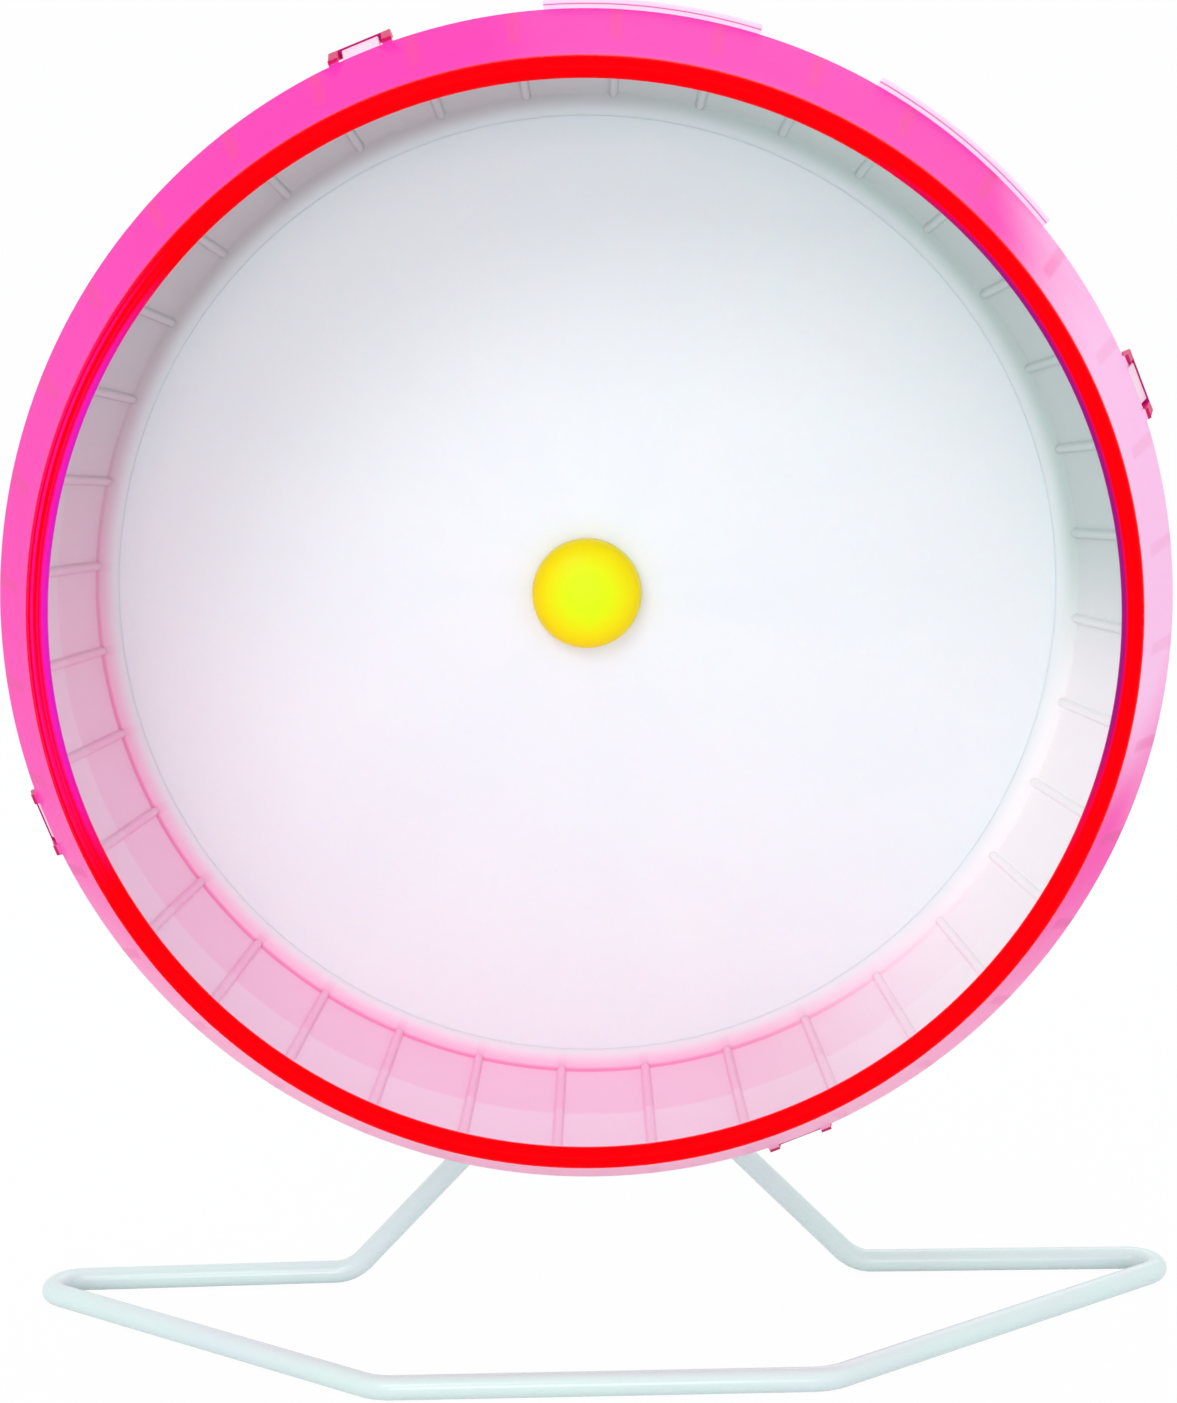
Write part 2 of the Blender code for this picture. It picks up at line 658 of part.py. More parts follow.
def build_drum(axle, pink, pale, white):
    """The two shells and the back panel."""
    ribs = rib_breaks(RIB_COUNT, RIB_PHASE, RIB_WIDTH, RIB_FLANK, SEAM_RADIUS, DRUM_SIDES_PER_RIB)
    shell = add_piece("front_shell", turn(sorted(ribs), front_shell_outline), pink, axle)
    join_solid(shell, add_piece("latch_loop_guide", latch_loops(), pink, axle), "UNION")

    angles = list(ribs)
    for middle in lug_middles():
        for end in (-LUG_ARC / 2, LUG_ARC / 2):
            inward = math.copysign(LUG_FLANK / SEAM_RADIUS, -end)
            angles += [middle + end, middle + end + inward]
    for i in range(LATCH_COUNT):
        middle = LATCH_PHASE + i * LATCH_ARC
        for half in (tooth_half(), tooth_half() + TOOTH_FLANK):
            angles += [middle - half / SEAM_RADIUS, middle + half / SEAM_RADIUS]
    whole = 2 * math.pi
    add_piece("back_shell", turn(sorted(a % whole for a in angles), back_shell_outline), pale, axle)

    panel_angles = rib_breaks(
        PANEL_RIB_COUNT, 0, PANEL_RIB_WIDTH, PANEL_RIB_FLANK, PANEL_RADIUS / 2, PANEL_SIDES_PER_RIB
    )
    panel = add_piece("back_panel", turn(sorted(panel_angles), back_panel_outline), white, axle)
    join_solid(panel, add_piece("snap_hook_guide", panel_hooks(), white, axle), "UNION")


def build_hub(axle, yellow, nylon):
    """The cap over the bolt head and the two bushes that the drum turns on."""
    angles = even_angles(HUB_SIDES)
    add_piece("hub_cap", turn(angles, cap_outline), yellow, axle)
    middle = (BOSS_FRONT + BOSS_REAR) / 2
    front = bush_outline(FRONT_FLANGE_FACE, FRONT_FLANGE_BACK, middle - SEAT_GAP / 2)
    rear = bush_outline(REAR_FLANGE_BACK, REAR_FLANGE_FACE, middle + SEAT_GAP / 2)
    add_piece("front_bush", turn(angles, front), nylon, axle)
    add_piece("rear_bush", turn(angles, rear), nylon, axle)


def build_axle(axle, zinc, spring_steel):
    """The bolt, its washers, the sleeve that the stand's hairpin holds, and the nut."""
    angles = even_angles(HUB_SIDES)
    washer = (BORE_RADIUS, WASHER_RADIUS)
    front_washer = ring_outline(*washer, FRONT_WASHER_FACE, FRONT_WASHER_BACK)
    rear_washer = ring_outline(*washer, REAR_WASHER_FACE, REAR_WASHER_BACK)
    sleeve = ring_outline(BORE_RADIUS, SLEEVE_RADIUS, SLEEVE_FACE, SLEEVE_BACK, SLEEVE_CHAMFER)
    lock = ring_outline(BORE_RADIUS, LOCK_WASHER_RADIUS, LOCK_WASHER_FACE, LOCK_WASHER_BACK)
    slit = LOCK_WASHER_SLIT / LOCK_WASHER_RADIUS
    split_angles = [slit / 2 + (2 * math.pi - slit) * i / HUB_SIDES for i in range(HUB_SIDES + 1)]
    add_piece("axle_bolt", turn(angles, bolt_outline), zinc, axle)
    add_piece("front_washer", turn(angles, front_washer), zinc, axle)
    add_piece("rear_washer", turn(angles, rear_washer), zinc, axle)
    add_piece("axle_sleeve", turn(angles, sleeve), zinc, axle)
    add_piece("lock_washer", turn(split_angles, lock, closed=False), spring_steel, axle)
    add_piece("axle_nut", turn(angles, nut_outline), zinc, axle)


def main():
    for item in list(bpy.data.objects):
        bpy.data.objects.remove(item, do_unlink=True)

    axle = bpy.data.objects.new("axle_line", None)
    axle.location = (0, 0, AXLE_HEIGHT)
    bpy.context.scene.collection.objects.link(axle)

    pink = add_material("moulded_pink_plastic", "FF4FA8", 0.22)
    pale = add_material("moulded_pale_pink_plastic", "F9B9DA", 0.3)
    white = add_material("moulded_white_plastic", "EDF3F6", 0.4)
    yellow = add_material("moulded_yellow_plastic", "FFDF00", 0.3)
    nylon = add_material("natural_nylon", "E9E6DC", 0.45)
    zinc = add_material("zinc_plated_steel", "B9BDC0", 0.3, 1.0)
    spring_steel = add_material("blackened_spring_steel", "55585C", 0.4, 1.0)
    coated = add_material("white_coated_wire", "E4EEEA", 0.25)

    build_drum(axle, pink, pale, white)
    build_hub(axle, yellow, nylon)
    build_axle(axle, zinc, spring_steel)
    add_piece("stand_frame", wire_loop(), coated, None, math.radians(40))


main()
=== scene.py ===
"""Looks of a pet exercise wheel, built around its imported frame.

Metres, +Z up. The mouth of the drum faces -Y. Depths are measured backwards from the front of the drum's
lip, radii from the axle, and angles round the axle, anticlockwise as seen from the front.
"""

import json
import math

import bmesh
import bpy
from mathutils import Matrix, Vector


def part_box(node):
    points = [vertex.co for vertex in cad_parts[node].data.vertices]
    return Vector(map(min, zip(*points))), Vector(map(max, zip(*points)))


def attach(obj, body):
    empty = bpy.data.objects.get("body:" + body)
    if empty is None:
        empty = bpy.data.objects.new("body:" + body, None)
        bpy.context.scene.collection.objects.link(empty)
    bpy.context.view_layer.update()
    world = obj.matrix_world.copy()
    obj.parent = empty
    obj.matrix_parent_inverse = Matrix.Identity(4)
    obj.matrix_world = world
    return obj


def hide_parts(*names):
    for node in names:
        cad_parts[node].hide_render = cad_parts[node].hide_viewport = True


bl_info = {
    "name": "Pet Exercise Wheel",
    "version": (1, 0, 0),
    "blender": (4, 5, 0),
    "location": "View3D > Sidebar > Wheel",
    "description": "Models a two-shell exercise wheel on a wire stand, with its finishes and its stage",
    "category": "Add Mesh",
}

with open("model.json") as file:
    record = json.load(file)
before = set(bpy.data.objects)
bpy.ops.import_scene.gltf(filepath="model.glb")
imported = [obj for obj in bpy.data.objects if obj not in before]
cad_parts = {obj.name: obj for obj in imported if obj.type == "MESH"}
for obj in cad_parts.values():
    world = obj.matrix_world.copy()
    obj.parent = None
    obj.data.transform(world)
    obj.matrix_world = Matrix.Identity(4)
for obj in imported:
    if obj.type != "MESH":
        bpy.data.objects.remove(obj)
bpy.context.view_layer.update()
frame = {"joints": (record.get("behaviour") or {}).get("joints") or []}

MM = 0.001
MERGE = 0.005 * MM  # points closer than this are one
NEAR = 0.02 * MM  # tolerance with which a point is found at its place
NEAR_ANGLE = 1e-4  # the same for an angle, in radians
SIDE_SHARE = 0.49  # most of a side that one rounding may take
STRAIGHT = math.radians(2)  # a corner that turns less isn't rounded
SHARP = math.radians(40)  # an edge that turns more is broken
BLUNT = math.radians(20)  # the same where the slopes are shallow
SOFT_EDGES = math.radians(42)  # edges that turn less are shaded smooth
HARD_EDGES = math.radians(25)  # the same, on pieces with flats
WHITE = (1.0, 1.0, 1.0, 1.0)

# Places that come from the frame
LIP_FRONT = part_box("front_shell")[0].y
AXLE_HEIGHT = frame["joints"][0]["pos_m"][2]
AXLE = Vector((0, 0, AXLE_HEIGHT))


def hex_colour(code):
    """Linear colour of an sRGB hex code, with full alpha."""
    channels = [int(code[i : i + 2], 16) / 255 for i in (0, 2, 4)]
    return tuple(c / 12.92 if c <= 0.04045 else ((c + 0.055) / 1.055) ** 2.4 for c in channels) + (1.0,)


def length(name, millimetres, description):
    """A property that holds a length."""
    return bpy.props.FloatProperty(
        name=name,
        description=description,
        default=millimetres * MM,
        min=0,
        unit="LENGTH",
        subtype="DISTANCE",
    )


def swing(name, degrees, description):
    """A property that holds an angle."""
    return bpy.props.FloatProperty(
        name=name, description=description, default=math.radians(degrees), unit="ROTATION", subtype="ANGLE"
    )


def tally(name, number, description):
    """A property that holds a count."""
    return bpy.props.IntProperty(name=name, description=description, default=number, min=1)


def tint(name, code, description):
    """A property that holds a colour."""
    return bpy.props.FloatVectorProperty(
        name=name, description=description, default=hex_colour(code), size=4, min=0, max=1, subtype="COLOR"
    )


def amount(name, number, description):
    """A property that holds a plain number."""
    return bpy.props.FloatProperty(name=name, description=description, default=number)


class WheelDrumSizes(bpy.types.PropertyGroup):
    """Sizes of the two shells."""

    lip_radius: length("Lip Radius", 125.4, "Outer radius of the rounded lip round the mouth")
    lip_bead: length("Lip Bead", 5.0, "Diameter of the rounded lip")
    lip_arc: swing("Lip Curl", 225, "How far the lip's bead curls in from the outer skin")
    seam_radius: length("Seam Radius", 140, "Outer radius where the two shells meet")
    seam_depth: length("Seam Depth", 43.5, "Depth where the two shells meet")
    seam_gap: length("Seam Gap", 0.3, "Gap between the two shells")
    wall: length("Wall", 2.1, "Thickness of the shells, along the radius")
    back_radius: length("Back Radius", 124.5, "Radius where the running surface meets the back wall")
    back_depth: length("Back Depth", 85, "Depth of the front face of the back wall")
    rib_count: tally("Ribs", 36, "Number of ribs across the running surface")
    rib_width: length("Rib Width", 2.7, "Width of a rib at its foot")
    rib_height: length("Rib Height", 1.2, "Height of a rib")
    rib_phase: swing("Rib Phase", 25.6, "Angle of one of the ribs")
    rib_runout: length("Rib Run-out", 1.6, "Length of the slope at the end of a rib")
    front_rib_start: length("Front Rib Start", 14.5, "Depth where the ribs of the front shell begin")
    latch_count: tally("Latches", 4, "Number of latch loops")
    latch_width: length("Latch Width", 16, "Width of a latch loop")
    latch_leg: length("Latch Leg", 2.5, "Width of each leg of a loop")
    latch_bar: length("Latch Bar", 1.9, "Width of the bar of a loop, along the depth")
    latch_thickness: length("Latch Thickness", 2.2, "Thickness of a loop's bar, along the radius")
    latch_neck: length("Latch Neck", 0.9, "Thickness of a loop's legs at the seam")
    latch_reach: length("Latch Reach", 16, "How far a loop reaches past the seam")
    latch_root: length("Latch Root", 4, "How far in front of the seam a loop begins")
    latch_rise: length("Latch Rise", 4.4, "Height of the bar's outside over the seam circle")
    latch_lift: length("Latch Lift", 0.2, "Gap between the legs and the seam circle")
    latch_corner: length("Latch Corner", 1.6, "Radius of the loop's outer corners")
    tooth_width: length("Tooth Width", 9.4, "Width of the tooth inside a loop")
    tooth_rise: length("Tooth Rise", 3.9, "Height of a tooth over the seam circle")
    tooth_start: length("Tooth Start", 2.2, "How far behind the seam a tooth begins")
    tooth_length: length("Tooth Length", 11.6, "Length of a tooth along the depth")
    lug_arc: swing("Lug Arc", 20.9, "Angle that a lug covers")
    lug_spread: swing("Lug Spread", 16.6, "Angle between a lug and the middle of the first two latches")
    lug_start: length("Lug Start", 2.0, "How far behind the seam a lug begins")
    lug_length: length("Lug Length", 6.0, "Length of a lug along the depth")
    lug_rise: length("Lug Rise", 2.6, "Height of a lug over the seam circle")
    flange_thickness: length("Flange Thickness", 2.0, "Thickness of the flange behind the back panel")
    flange_land: length("Flange Land", 5.5, "How far the flange reaches in behind the back panel")
    flange_fillet: length("Flange Fillet", 3.0, "Radius of the outer corner of the back")
    moulded_edge: length("Moulded Edge", 0.35, "Radius of the edges of a moulding")


class WheelPanelSizes(bpy.types.PropertyGroup):
    """Sizes of the back panel and the hub cap."""

    border: length("Border", 5.8, "Width of the flange that shows round the panel, inside the drum")
    thickness: length("Thickness", 2.0, "Thickness of the panel")
    seat_gap: length("Seat Gap", 0.3, "Gap between the panel and the flange behind it")
    edge_gap: length("Edge Gap", 0.02, "Gap round the panel, which is pressed into its recess")
    rib_count: tally("Ribs", 12, "Number of ribs on the back of the panel")
    rib_width: length("Rib Width", 2.4, "Width of a rib")
    rib_height: length("Rib Height", 1.8, "Height of a rib")
    rib_start: length("Rib Start", 14.5, "Distance from the axle to the inner end of a rib")
    rib_setback: length("Rib Setback", 3.5, "Distance from the outer end of a rib to the hooks")
    hook_count: tally("Hooks", 8, "Number of snap hooks")
    hook_width: length("Hook Width", 8, "Width of a snap hook")
    hook_thickness: length("Hook Thickness", 1.8, "Thickness of a snap hook")
    hook_barb: length("Hook Barb", 1.4, "How far the barb of a hook stands out")
    hook_tip: length("Hook Tip", 1.9, "Height of the barb of a hook")
    boss_radius: length("Boss Radius", 9, "Radius of the hub boss")
    boss_foot: length("Boss Foot", 14, "Radius where the rear boss meets the panel")
    boss_front: length("Boss Front", 0.5, "How far the boss stands in front of the panel")
    boss_rear: length("Boss Rear", 2.5, "How far the boss stands behind the panel")
    bore_radius: length("Bore Radius", 5.3, "Radius of the bore for the bushes")
    spigot_wall: length("Spigot Wall", 1.5, "Wall of the spigot that the hub cap pushes onto")
    spigot_height: length("Spigot Height", 3.0, "Height of the spigot")
    cap_radius: length("Cap Radius", 13.8, "Radius of the hub cap")
    cap_height: length("Cap Height", 9.8, "Height of the hub cap")
    cap_wall: length("Cap Wall", 1.3, "Wall of the hub cap")
    cap_swell: amount("Cap Swell", 2.2, "Exponent of the cap's outline; 2 is an ellipse")


class WheelAxleSizes(bpy.types.PropertyGroup):
    """Sizes of the axle set: bolt, bushes, washers, sleeve and nut."""

    clearance: length("Clearance", 0.3, "Gap between pieces that lie next to each other, and in a bore")
    bolt_radius: length("Bolt Radius", 3.0, "Outer radius of the bolt's thread")
    thread_pitch: length("Thread Pitch", 1.0, "Distance between two turns of the thread")
    thread_depth: length("Thread Depth", 0.5, "Depth of the thread")
    hex_across: length("Across Flats", 10, "Width of the bolt head and the nut across their flats")
    head_height: length("Head Height", 3.5, "Height of the bolt head")
    bush_wall: length("Bush Wall", 1.7, "Wall of a bush")
    bush_flange_radius: length("Bush Flange Radius", 7, "Radius of a bush's flange")
    bush_flange: length("Bush Flange", 1.0, "Thickness of a bush's flange")
    washer_radius: length("Washer Radius", 6, "Radius of a plain washer")
    washer_thickness: length("Washer Thickness", 1.0, "Thickness of a plain washer")
    sleeve_radius: length("Sleeve Radius", 6, "Radius of the sleeve in the stand's hairpin bend")
    sleeve_length: length("Sleeve Length", 12, "Length of the sleeve")
    lock_washer_radius: length("Lock Washer Radius", 5.6, "Radius of the split lock washer")
    lock_washer_thickness: length("Lock Washer Thickness", 1.5, "Thickness of the split lock washer")
    lock_washer_slit: length("Lock Washer Slit", 1.0, "Width of the slit in the lock washer")
    nut_thickness: length("Nut Thickness", 5.0, "Thickness of the nut")
    bolt_proud: length("Bolt Proud", 2.0, "How far the bolt stands out of the nut")
    turned_edge: length("Turned Edge", 0.25, "Size of the broken edges of turned and punched pieces")


class WheelStandSizes(bpy.types.PropertyGroup):
    """Sizes of the bent wire stand."""

    wire_diameter: length("Wire Diameter", 5.8, "Diameter of the wire over its coating")
    front_depth: length("Front Bar Depth", 9.5, "Depth of the front bar")
    front_half: length("Front Bar Half", 53.5, "Half the length of the front bar")
    front_bend: length("Front Bend", 12, "Bend radius at the ends of the front bar")
    corner_half: length("Corner Half", 156.5, "Half the width of the base")
    corner_depth: length("Corner Depth", 91, "Depth of the rear corners")
    corner_bend: length("Corner Bend", 7, "Bend radius of the rear corners")
    inner_half: length("Inner Bend Half", 66.4, "Half the distance between the feet of the legs")
    inner_depth: length("Inner Bend Depth", 93.6, "Depth of the feet of the legs")
    inner_bend: length("Inner Bend", 11, "Bend radius at the feet of the legs")
    leg_slope: swing("Leg Slope", 45, "Slope of the legs")
    stem_bend: length("Stem Bend", 15, "Bend radius where the legs turn into the stem")


class WheelFinishes(bpy.types.PropertyGroup):
    """Colours of the finishes, as seen in plain light, with painted light and shade on the drum, its lip
    and the hub cap.
    """

    band_hot: tint("Band, Strong", "FF30AC", "Front shell where the tint is strongest")
    # Painted light: the front shell's pink is painted pale toward its right side, where light falls on it
    # and passes through
    band_painted_light: tint("Band, Pale", "FFBEEA", "Front shell where the tint is palest")
    # Painted light: the front shell is painted paler where it faces the ground, in place of light thrown up
    # from below
    band_painted_underlight: tint("Band, Below", "FFA8CC", "Front shell where it faces the ground")
    band_rib: tint("Band Ribs", "E43C92", "Ribs of the front shell, seen through its wall")
    band_inside: tint("Band, Inside", "FFC4E4", "Inner skin of the front shell, with light coming through")
    lip_red: tint("Lip", "FF000A", "Thick bead of the lip, where the tint gathers")
    # Painted reflection: magenta streaks on the lip at the left
    lip_painted_reflection_streaks: tint("Lip Streaks", "FF1482", "Streaks on the lip")
    # Painted reflection: a violet line along the lip's inner edge at the left
    lip_painted_violet_reflection: tint("Lip Inside, Left", "E61EBE", "Inner edge of the lip on the left")
    # Painted shade: the lip's inner edge at the right is painted dark plum
    lip_painted_plum_shade: tint("Lip Inside, Right", "A0147D", "Inner edge of the lip on the right")
    loop_leg: tint("Latch Leg", "D2005F", "Legs of the latch loops")
    loop_bar: tint("Latch Bar", "B41470", "Bars of the latch loops")
    running_near: tint("Running Surface", "FFD8EC", "Back shell near the seam")
    # Painted shade: the half of the running surface nearer the back wall is painted deeper pink, behind a
    # painted shading edge
    running_painted_shade: tint("Running Surface, Far", "FFCAE4", "Back shell near the back wall")
    # Painted shade: smoky tints inside the drum overhead stand in for the shade under its roof, and turn
    # with the drum
    roof_painted_warm_shade: tint("Roof, Left", "CEC9CC", "Inside of the drum at the top and the upper left")
    roof_painted_cool_shade: tint("Roof, Right", "CCDBD7", "Inside of the drum at the upper right")
    # Painted light: the inside at the lower right is painted nearly white, as if washed out by light
    side_painted_light: tint("Side, Pale", "FDFCFD", "Inside of the drum at the lower right, palest of all")
    rib_pink: tint("Ribs", "FA96C8", "Ribs of the running surface")
    lug_line: tint("Lug Line", "D264AF", "Line along the front of the lugs, where the moulding steps back")
    panel_white: tint("Panel", "EDF3F6", "Back panel")
    panel_flow: tint("Panel Flow", "EAF1F5", "Streaks of the back panel")
    # Painted light and shade on the dome: a lit middle and a shaded rim
    cap_painted_lit_middle: tint("Cap", "E0FF00", "Middle of the hub cap")
    cap_painted_shaded_rim: tint("Cap Rim", "FFE100", "Rim of the hub cap")
    coat_white: tint("Wire Coat", "D0E7E2", "Plastic coat of the stand's wire")
    coat_cool: tint("Wire Coat, Cool", "D2E2E3", "Cooler patches of the coat")
    nylon: tint("Nylon", "E9E6DC", "Bushes")
    nylon_dark: tint("Nylon, Dark", "DDD8CB", "Darker patches of the bushes")
    zinc: tint("Zinc", "C4C8CA", "Bolt, nut, plain washers and sleeve")
    spring_steel: tint("Spring Steel", "55585C", "Split lock washer")
    floor_white: tint("Floor", "EEF2F4", "Floor and backdrop, in the light that they throw back")
    floor_fibre: tint("Floor Fibre", "EAEEF0", "Fibres of the paper")


class WheelStageSettings(bpy.types.PropertyGroup):
    """Camera and lamps."""

    camera_place: bpy.props.FloatVectorProperty(
        name="Camera Place",
        description="Place of the camera",
        default=(0.0071, -0.68005, 0.24717),
        subtype="TRANSLATION",
        unit="LENGTH",
    )
    camera_yaw: swing("Camera Yaw", 0.596, "Turn of the camera to the left")
    camera_pitch: swing("Camera Pitch", -7.431, "Tilt of the camera, upwards")
    camera_roll: swing("Camera Roll", -1.380, "Roll of the camera about its line of sight")
    camera_lens: amount("Camera Lens", 71.94, "Focal length in millimetres, for a frame 36 mm high")
    key_power: amount("Key Lamp", 2.9, "Power of the key lamp in watts")
    fill_power: amount("Fill Lamp", 2.8, "Power of the fill lamp in watts")
    back_power: amount("Back Lamp", 2.0, "Power of the lamp behind the wheel in watts")
    ambient: amount("Ambient", 0.95, "Strength of the even light from all around")


# Modelling helpers. Those that shape a mesh act on the piece in edit mode.


def on_axle(radius, depth, angle):
    """The point at a radius, a depth behind the lip and an angle round the axle."""
    return Vector((radius * math.cos(angle), LIP_FRONT + depth, AXLE_HEIGHT + radius * math.sin(angle)))


def polar(point):
    """Radius, depth and angle of a point."""
    x, z = point.x, point.z - AXLE_HEIGHT
    return math.hypot(x, z), point.y - LIP_FRONT, math.atan2(z, x)


def from_nearest(angle, phase, pitch):
    """Signed angle to the nearest of the places that a pitch sets out from a phase."""
    return (angle - phase + pitch / 2) % pitch - pitch / 2


def clear_selection():
    """Goes back to object mode with nothing selected."""
    if bpy.context.mode != "OBJECT":
        bpy.ops.object.mode_set(mode="OBJECT")
    bpy.ops.object.select_all(action="DESELECT")


def select_only(piece):
    """Goes back to object mode with one piece selected and active."""
    clear_selection()
    piece.select_set(True)
    bpy.context.view_layer.objects.active = piece


def start_edit(name):
    """Names the primitive just added, moves its place into its mesh and edits it, all selected."""
    piece = bpy.context.active_object
    piece.name = name
    piece.data.name = name
    bpy.ops.object.transform_apply(location=True, rotation=True, scale=True)
    bpy.ops.object.mode_set(mode="EDIT")
    bpy.ops.mesh.select_mode(type="VERT")
    bpy.ops.mesh.select_all(action="SELECT")
    return piece


def select_where(kind, test):
    """Selects the vertices, edges or faces of the edited mesh that pass a test."""
    bpy.ops.mesh.select_mode(type={"verts": "VERT", "edges": "EDGE", "faces": "FACE"}[kind])
    bpy.ops.mesh.select_all(action="DESELECT")
    data = bpy.context.edit_object.data
    mesh = bmesh.from_edit_mesh(data)
    for item in getattr(mesh, kind):
        if test(item):
            item.select_set(True)
    bmesh.update_edit_mesh(data)


def draw_line(name, points, closed=False):
    """A piece drawn as one line: a small plane merged to a point, and the point extruded along the line."""
    clear_selection()
    bpy.ops.mesh.primitive_plane_add(size=MM, location=points[0])
    piece = start_edit(name)
    bpy.ops.mesh.merge(type="CENTER")
    for here, there in zip(points, points[1:]):
        bpy.ops.mesh.extrude_vertices_move(TRANSFORM_OT_translate={"value": Vector(there) - Vector(here)})
    if closed:
        bpy.ops.mesh.select_all(action="DESELECT")
        mesh = bmesh.from_edit_mesh(piece.data)
        mesh.verts.ensure_lookup_table()
        for point in (points[0], points[-1]):
            min(mesh.verts, key=lambda vert: (vert.co - Vector(point)).length).select_set(True)
        bmesh.update_edit_mesh(piece.data)
        bpy.ops.mesh.edge_face_add()
    bpy.ops.mesh.select_all(action="SELECT")
    return piece


def sweep(angle, steps):
    """Spins the selected outline on round the axle."""
    bpy.ops.mesh.spin(steps=steps, angle=angle, center=AXLE, axis=(0, 1, 0))


def merge_and_face_out():
    """Merges doubled vertices and points all faces outwards."""
    bpy.ops.mesh.select_all(action="SELECT")
    bpy.ops.mesh.remove_doubles(threshold=MERGE)
    bpy.ops.mesh.normals_make_consistent(inside=False)


def repeat_round(count):
    """Copies all of the mesh round the axle, so that it stands there count times."""
    bpy.ops.mesh.select_all(action="SELECT")
    turned = 2 * math.pi * (count - 1) / count
    bpy.ops.mesh.spin(steps=count - 1, angle=turned, dupli=True, center=AXLE, axis=(0, 1, 0))
    merge_and_face_out()


def turn_about_axle(angle):
    """Turns what is selected round the axle."""
    bpy.ops.transform.rotate(value=angle, orient_axis="Y", center_override=AXLE)


def bevel_selected(size, segments=3):
    """Rounds the selected edges."""
    bpy.ops.mesh.bevel(offset=size, offset_type="OFFSET", segments=segments, clamp_overlap=True)


def bevel_sharp(size, segments=3, angle=SHARP):
    """Rounds every edge that is sharper than an angle."""
    bpy.ops.mesh.select_mode(type="EDGE")
    bpy.ops.mesh.select_all(action="DESELECT")
    bpy.ops.mesh.edges_select_sharp(sharpness=angle)
    bevel_selected(size, segments)


def cut_across(point, normal):
    """Cuts all of the mesh along a plane and keeps both sides."""
    bpy.ops.mesh.select_all(action="SELECT")
    bpy.ops.mesh.bisect(plane_co=point, plane_no=normal)


def block(name, middle, size):
    """A box at its size and place, in edit mode."""
    clear_selection()
    bpy.ops.mesh.primitive_cube_add(size=1, location=middle, scale=size)
    return start_edit(name)


def rounded(corners, steps=4):
    """Rounds the corners of an outline, each given as (radius from the axle, depth, rounding)."""
    points = []
    for i, (radius, depth, rounding) in enumerate(corners):
        corner = Vector((radius, depth))
        before = Vector(corners[i - 1][:2]) - corner
        after = Vector(corners[(i + 1) % len(corners)][:2]) - corner
        turned = math.pi - before.angle(after)
        if rounding <= 0 or turned < STRAIGHT:
            points.append((radius, depth))
            continue
        longest = SIDE_SHARE * min(before.length, after.length)
        reach = min(rounding * math.tan(turned / 2), longest)
        rounding = reach / math.tan(turned / 2)
        inward = (before.normalized() + after.normalized()).normalized()
        middle = corner + inward * rounding / math.cos(turned / 2)
        start = corner + before.normalized() * reach - middle
        end = corner + after.normalized() * reach - middle
        way = math.copysign(1, start.cross(end))
        for k in range(steps + 1):
            spot = middle + Matrix.Rotation(way * turned * k / steps, 2) @ start
            points.append((spot.x, spot.y))
    return points


def unite(piece, tool, operation="UNION"):
    """Joins a closed body to a piece, or cuts or keeps what they share, and removes the body."""
    select_only(piece)
    bpy.ops.object.modifier_add(type="BOOLEAN")
    joint = piece.modifiers[-1]
    joint.operation = operation
    joint.solver = "EXACT"
    joint.object = tool
    bpy.ops.object.modifier_apply(modifier=joint.name)
    bpy.data.objects.remove(tool, do_unlink=True)


def lathe(name, corners, sides=96):
    """A turned piece from (radius, depth, rounding) corners. Its outline may begin and end on the axle."""
    outline = rounded(corners)
    solid_middle = min(radius for radius, _depth in outline) <= 0
    points = [on_axle(max(radius, 0), depth, 0) for radius, depth in outline]
    piece = draw_line(name, points, closed=not solid_middle)
    sweep(2 * math.pi, sides)
    merge_and_face_out()
    return piece


def ring_outline(inner, outer, face, back, edge):
    """Corners of a plain ring, all rounded alike."""
    return [(inner, face, edge), (outer, face, edge), (outer, back, edge), (inner, back, edge)]


def swept_bar(name, section, start, angle, steps):
    """A closed body: an outline of (radius, depth) points, filled and swept from a start angle on."""
    body = draw_line(name, [on_axle(radius, depth, start) for radius, depth in section], closed=True)
    bpy.ops.mesh.edge_face_add()
    sweep(angle, steps)
    merge_and_face_out()
    return body


def finish_piece(piece, material, body, slot, *nodes, smooth_angle=SOFT_EDGES):
    """Shades a piece, gives it its finish and body, and hides the CAD nodes that it stands for. The slot is
    not used.
    """
    select_only(piece)
    bpy.ops.object.shade_smooth_by_angle(angle=smooth_angle)
    piece.data.materials.clear()
    piece.data.materials.append(material)
    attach(piece, body)
    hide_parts(*nodes)


# Materials

# Directions round the axle, in degrees, toward which the painted light, shade and reflections on the drum
# change
PAINTED_LIGHT_SIDE = 8
PAINTED_LIGHT_BELOW_SIDE = 266
PAINTED_PINK_LIGHT_SIDE = 238
PAINTED_REFLECTION_SIDE = 172
PAINTED_LIP_SHADE_SIDE = 15
PAINTED_BRIGHT_SIDE = 325
PAINTED_COOL_SHADE_SIDE = 20

# Sockets of a mix node that hold colours
FIRST_COLOUR = 6
SECOND_COLOUR = 7
MIXED_COLOUR = 2


def set_inputs(tree, node, inputs):
    """Gives inputs of a node their numbers or colours, or the sockets that feed them."""
    for key, value in inputs.items():
        if isinstance(value, bpy.types.NodeSocket):
            tree.links.new(value, node.inputs[key])
        else:
            node.inputs[key].default_value = value


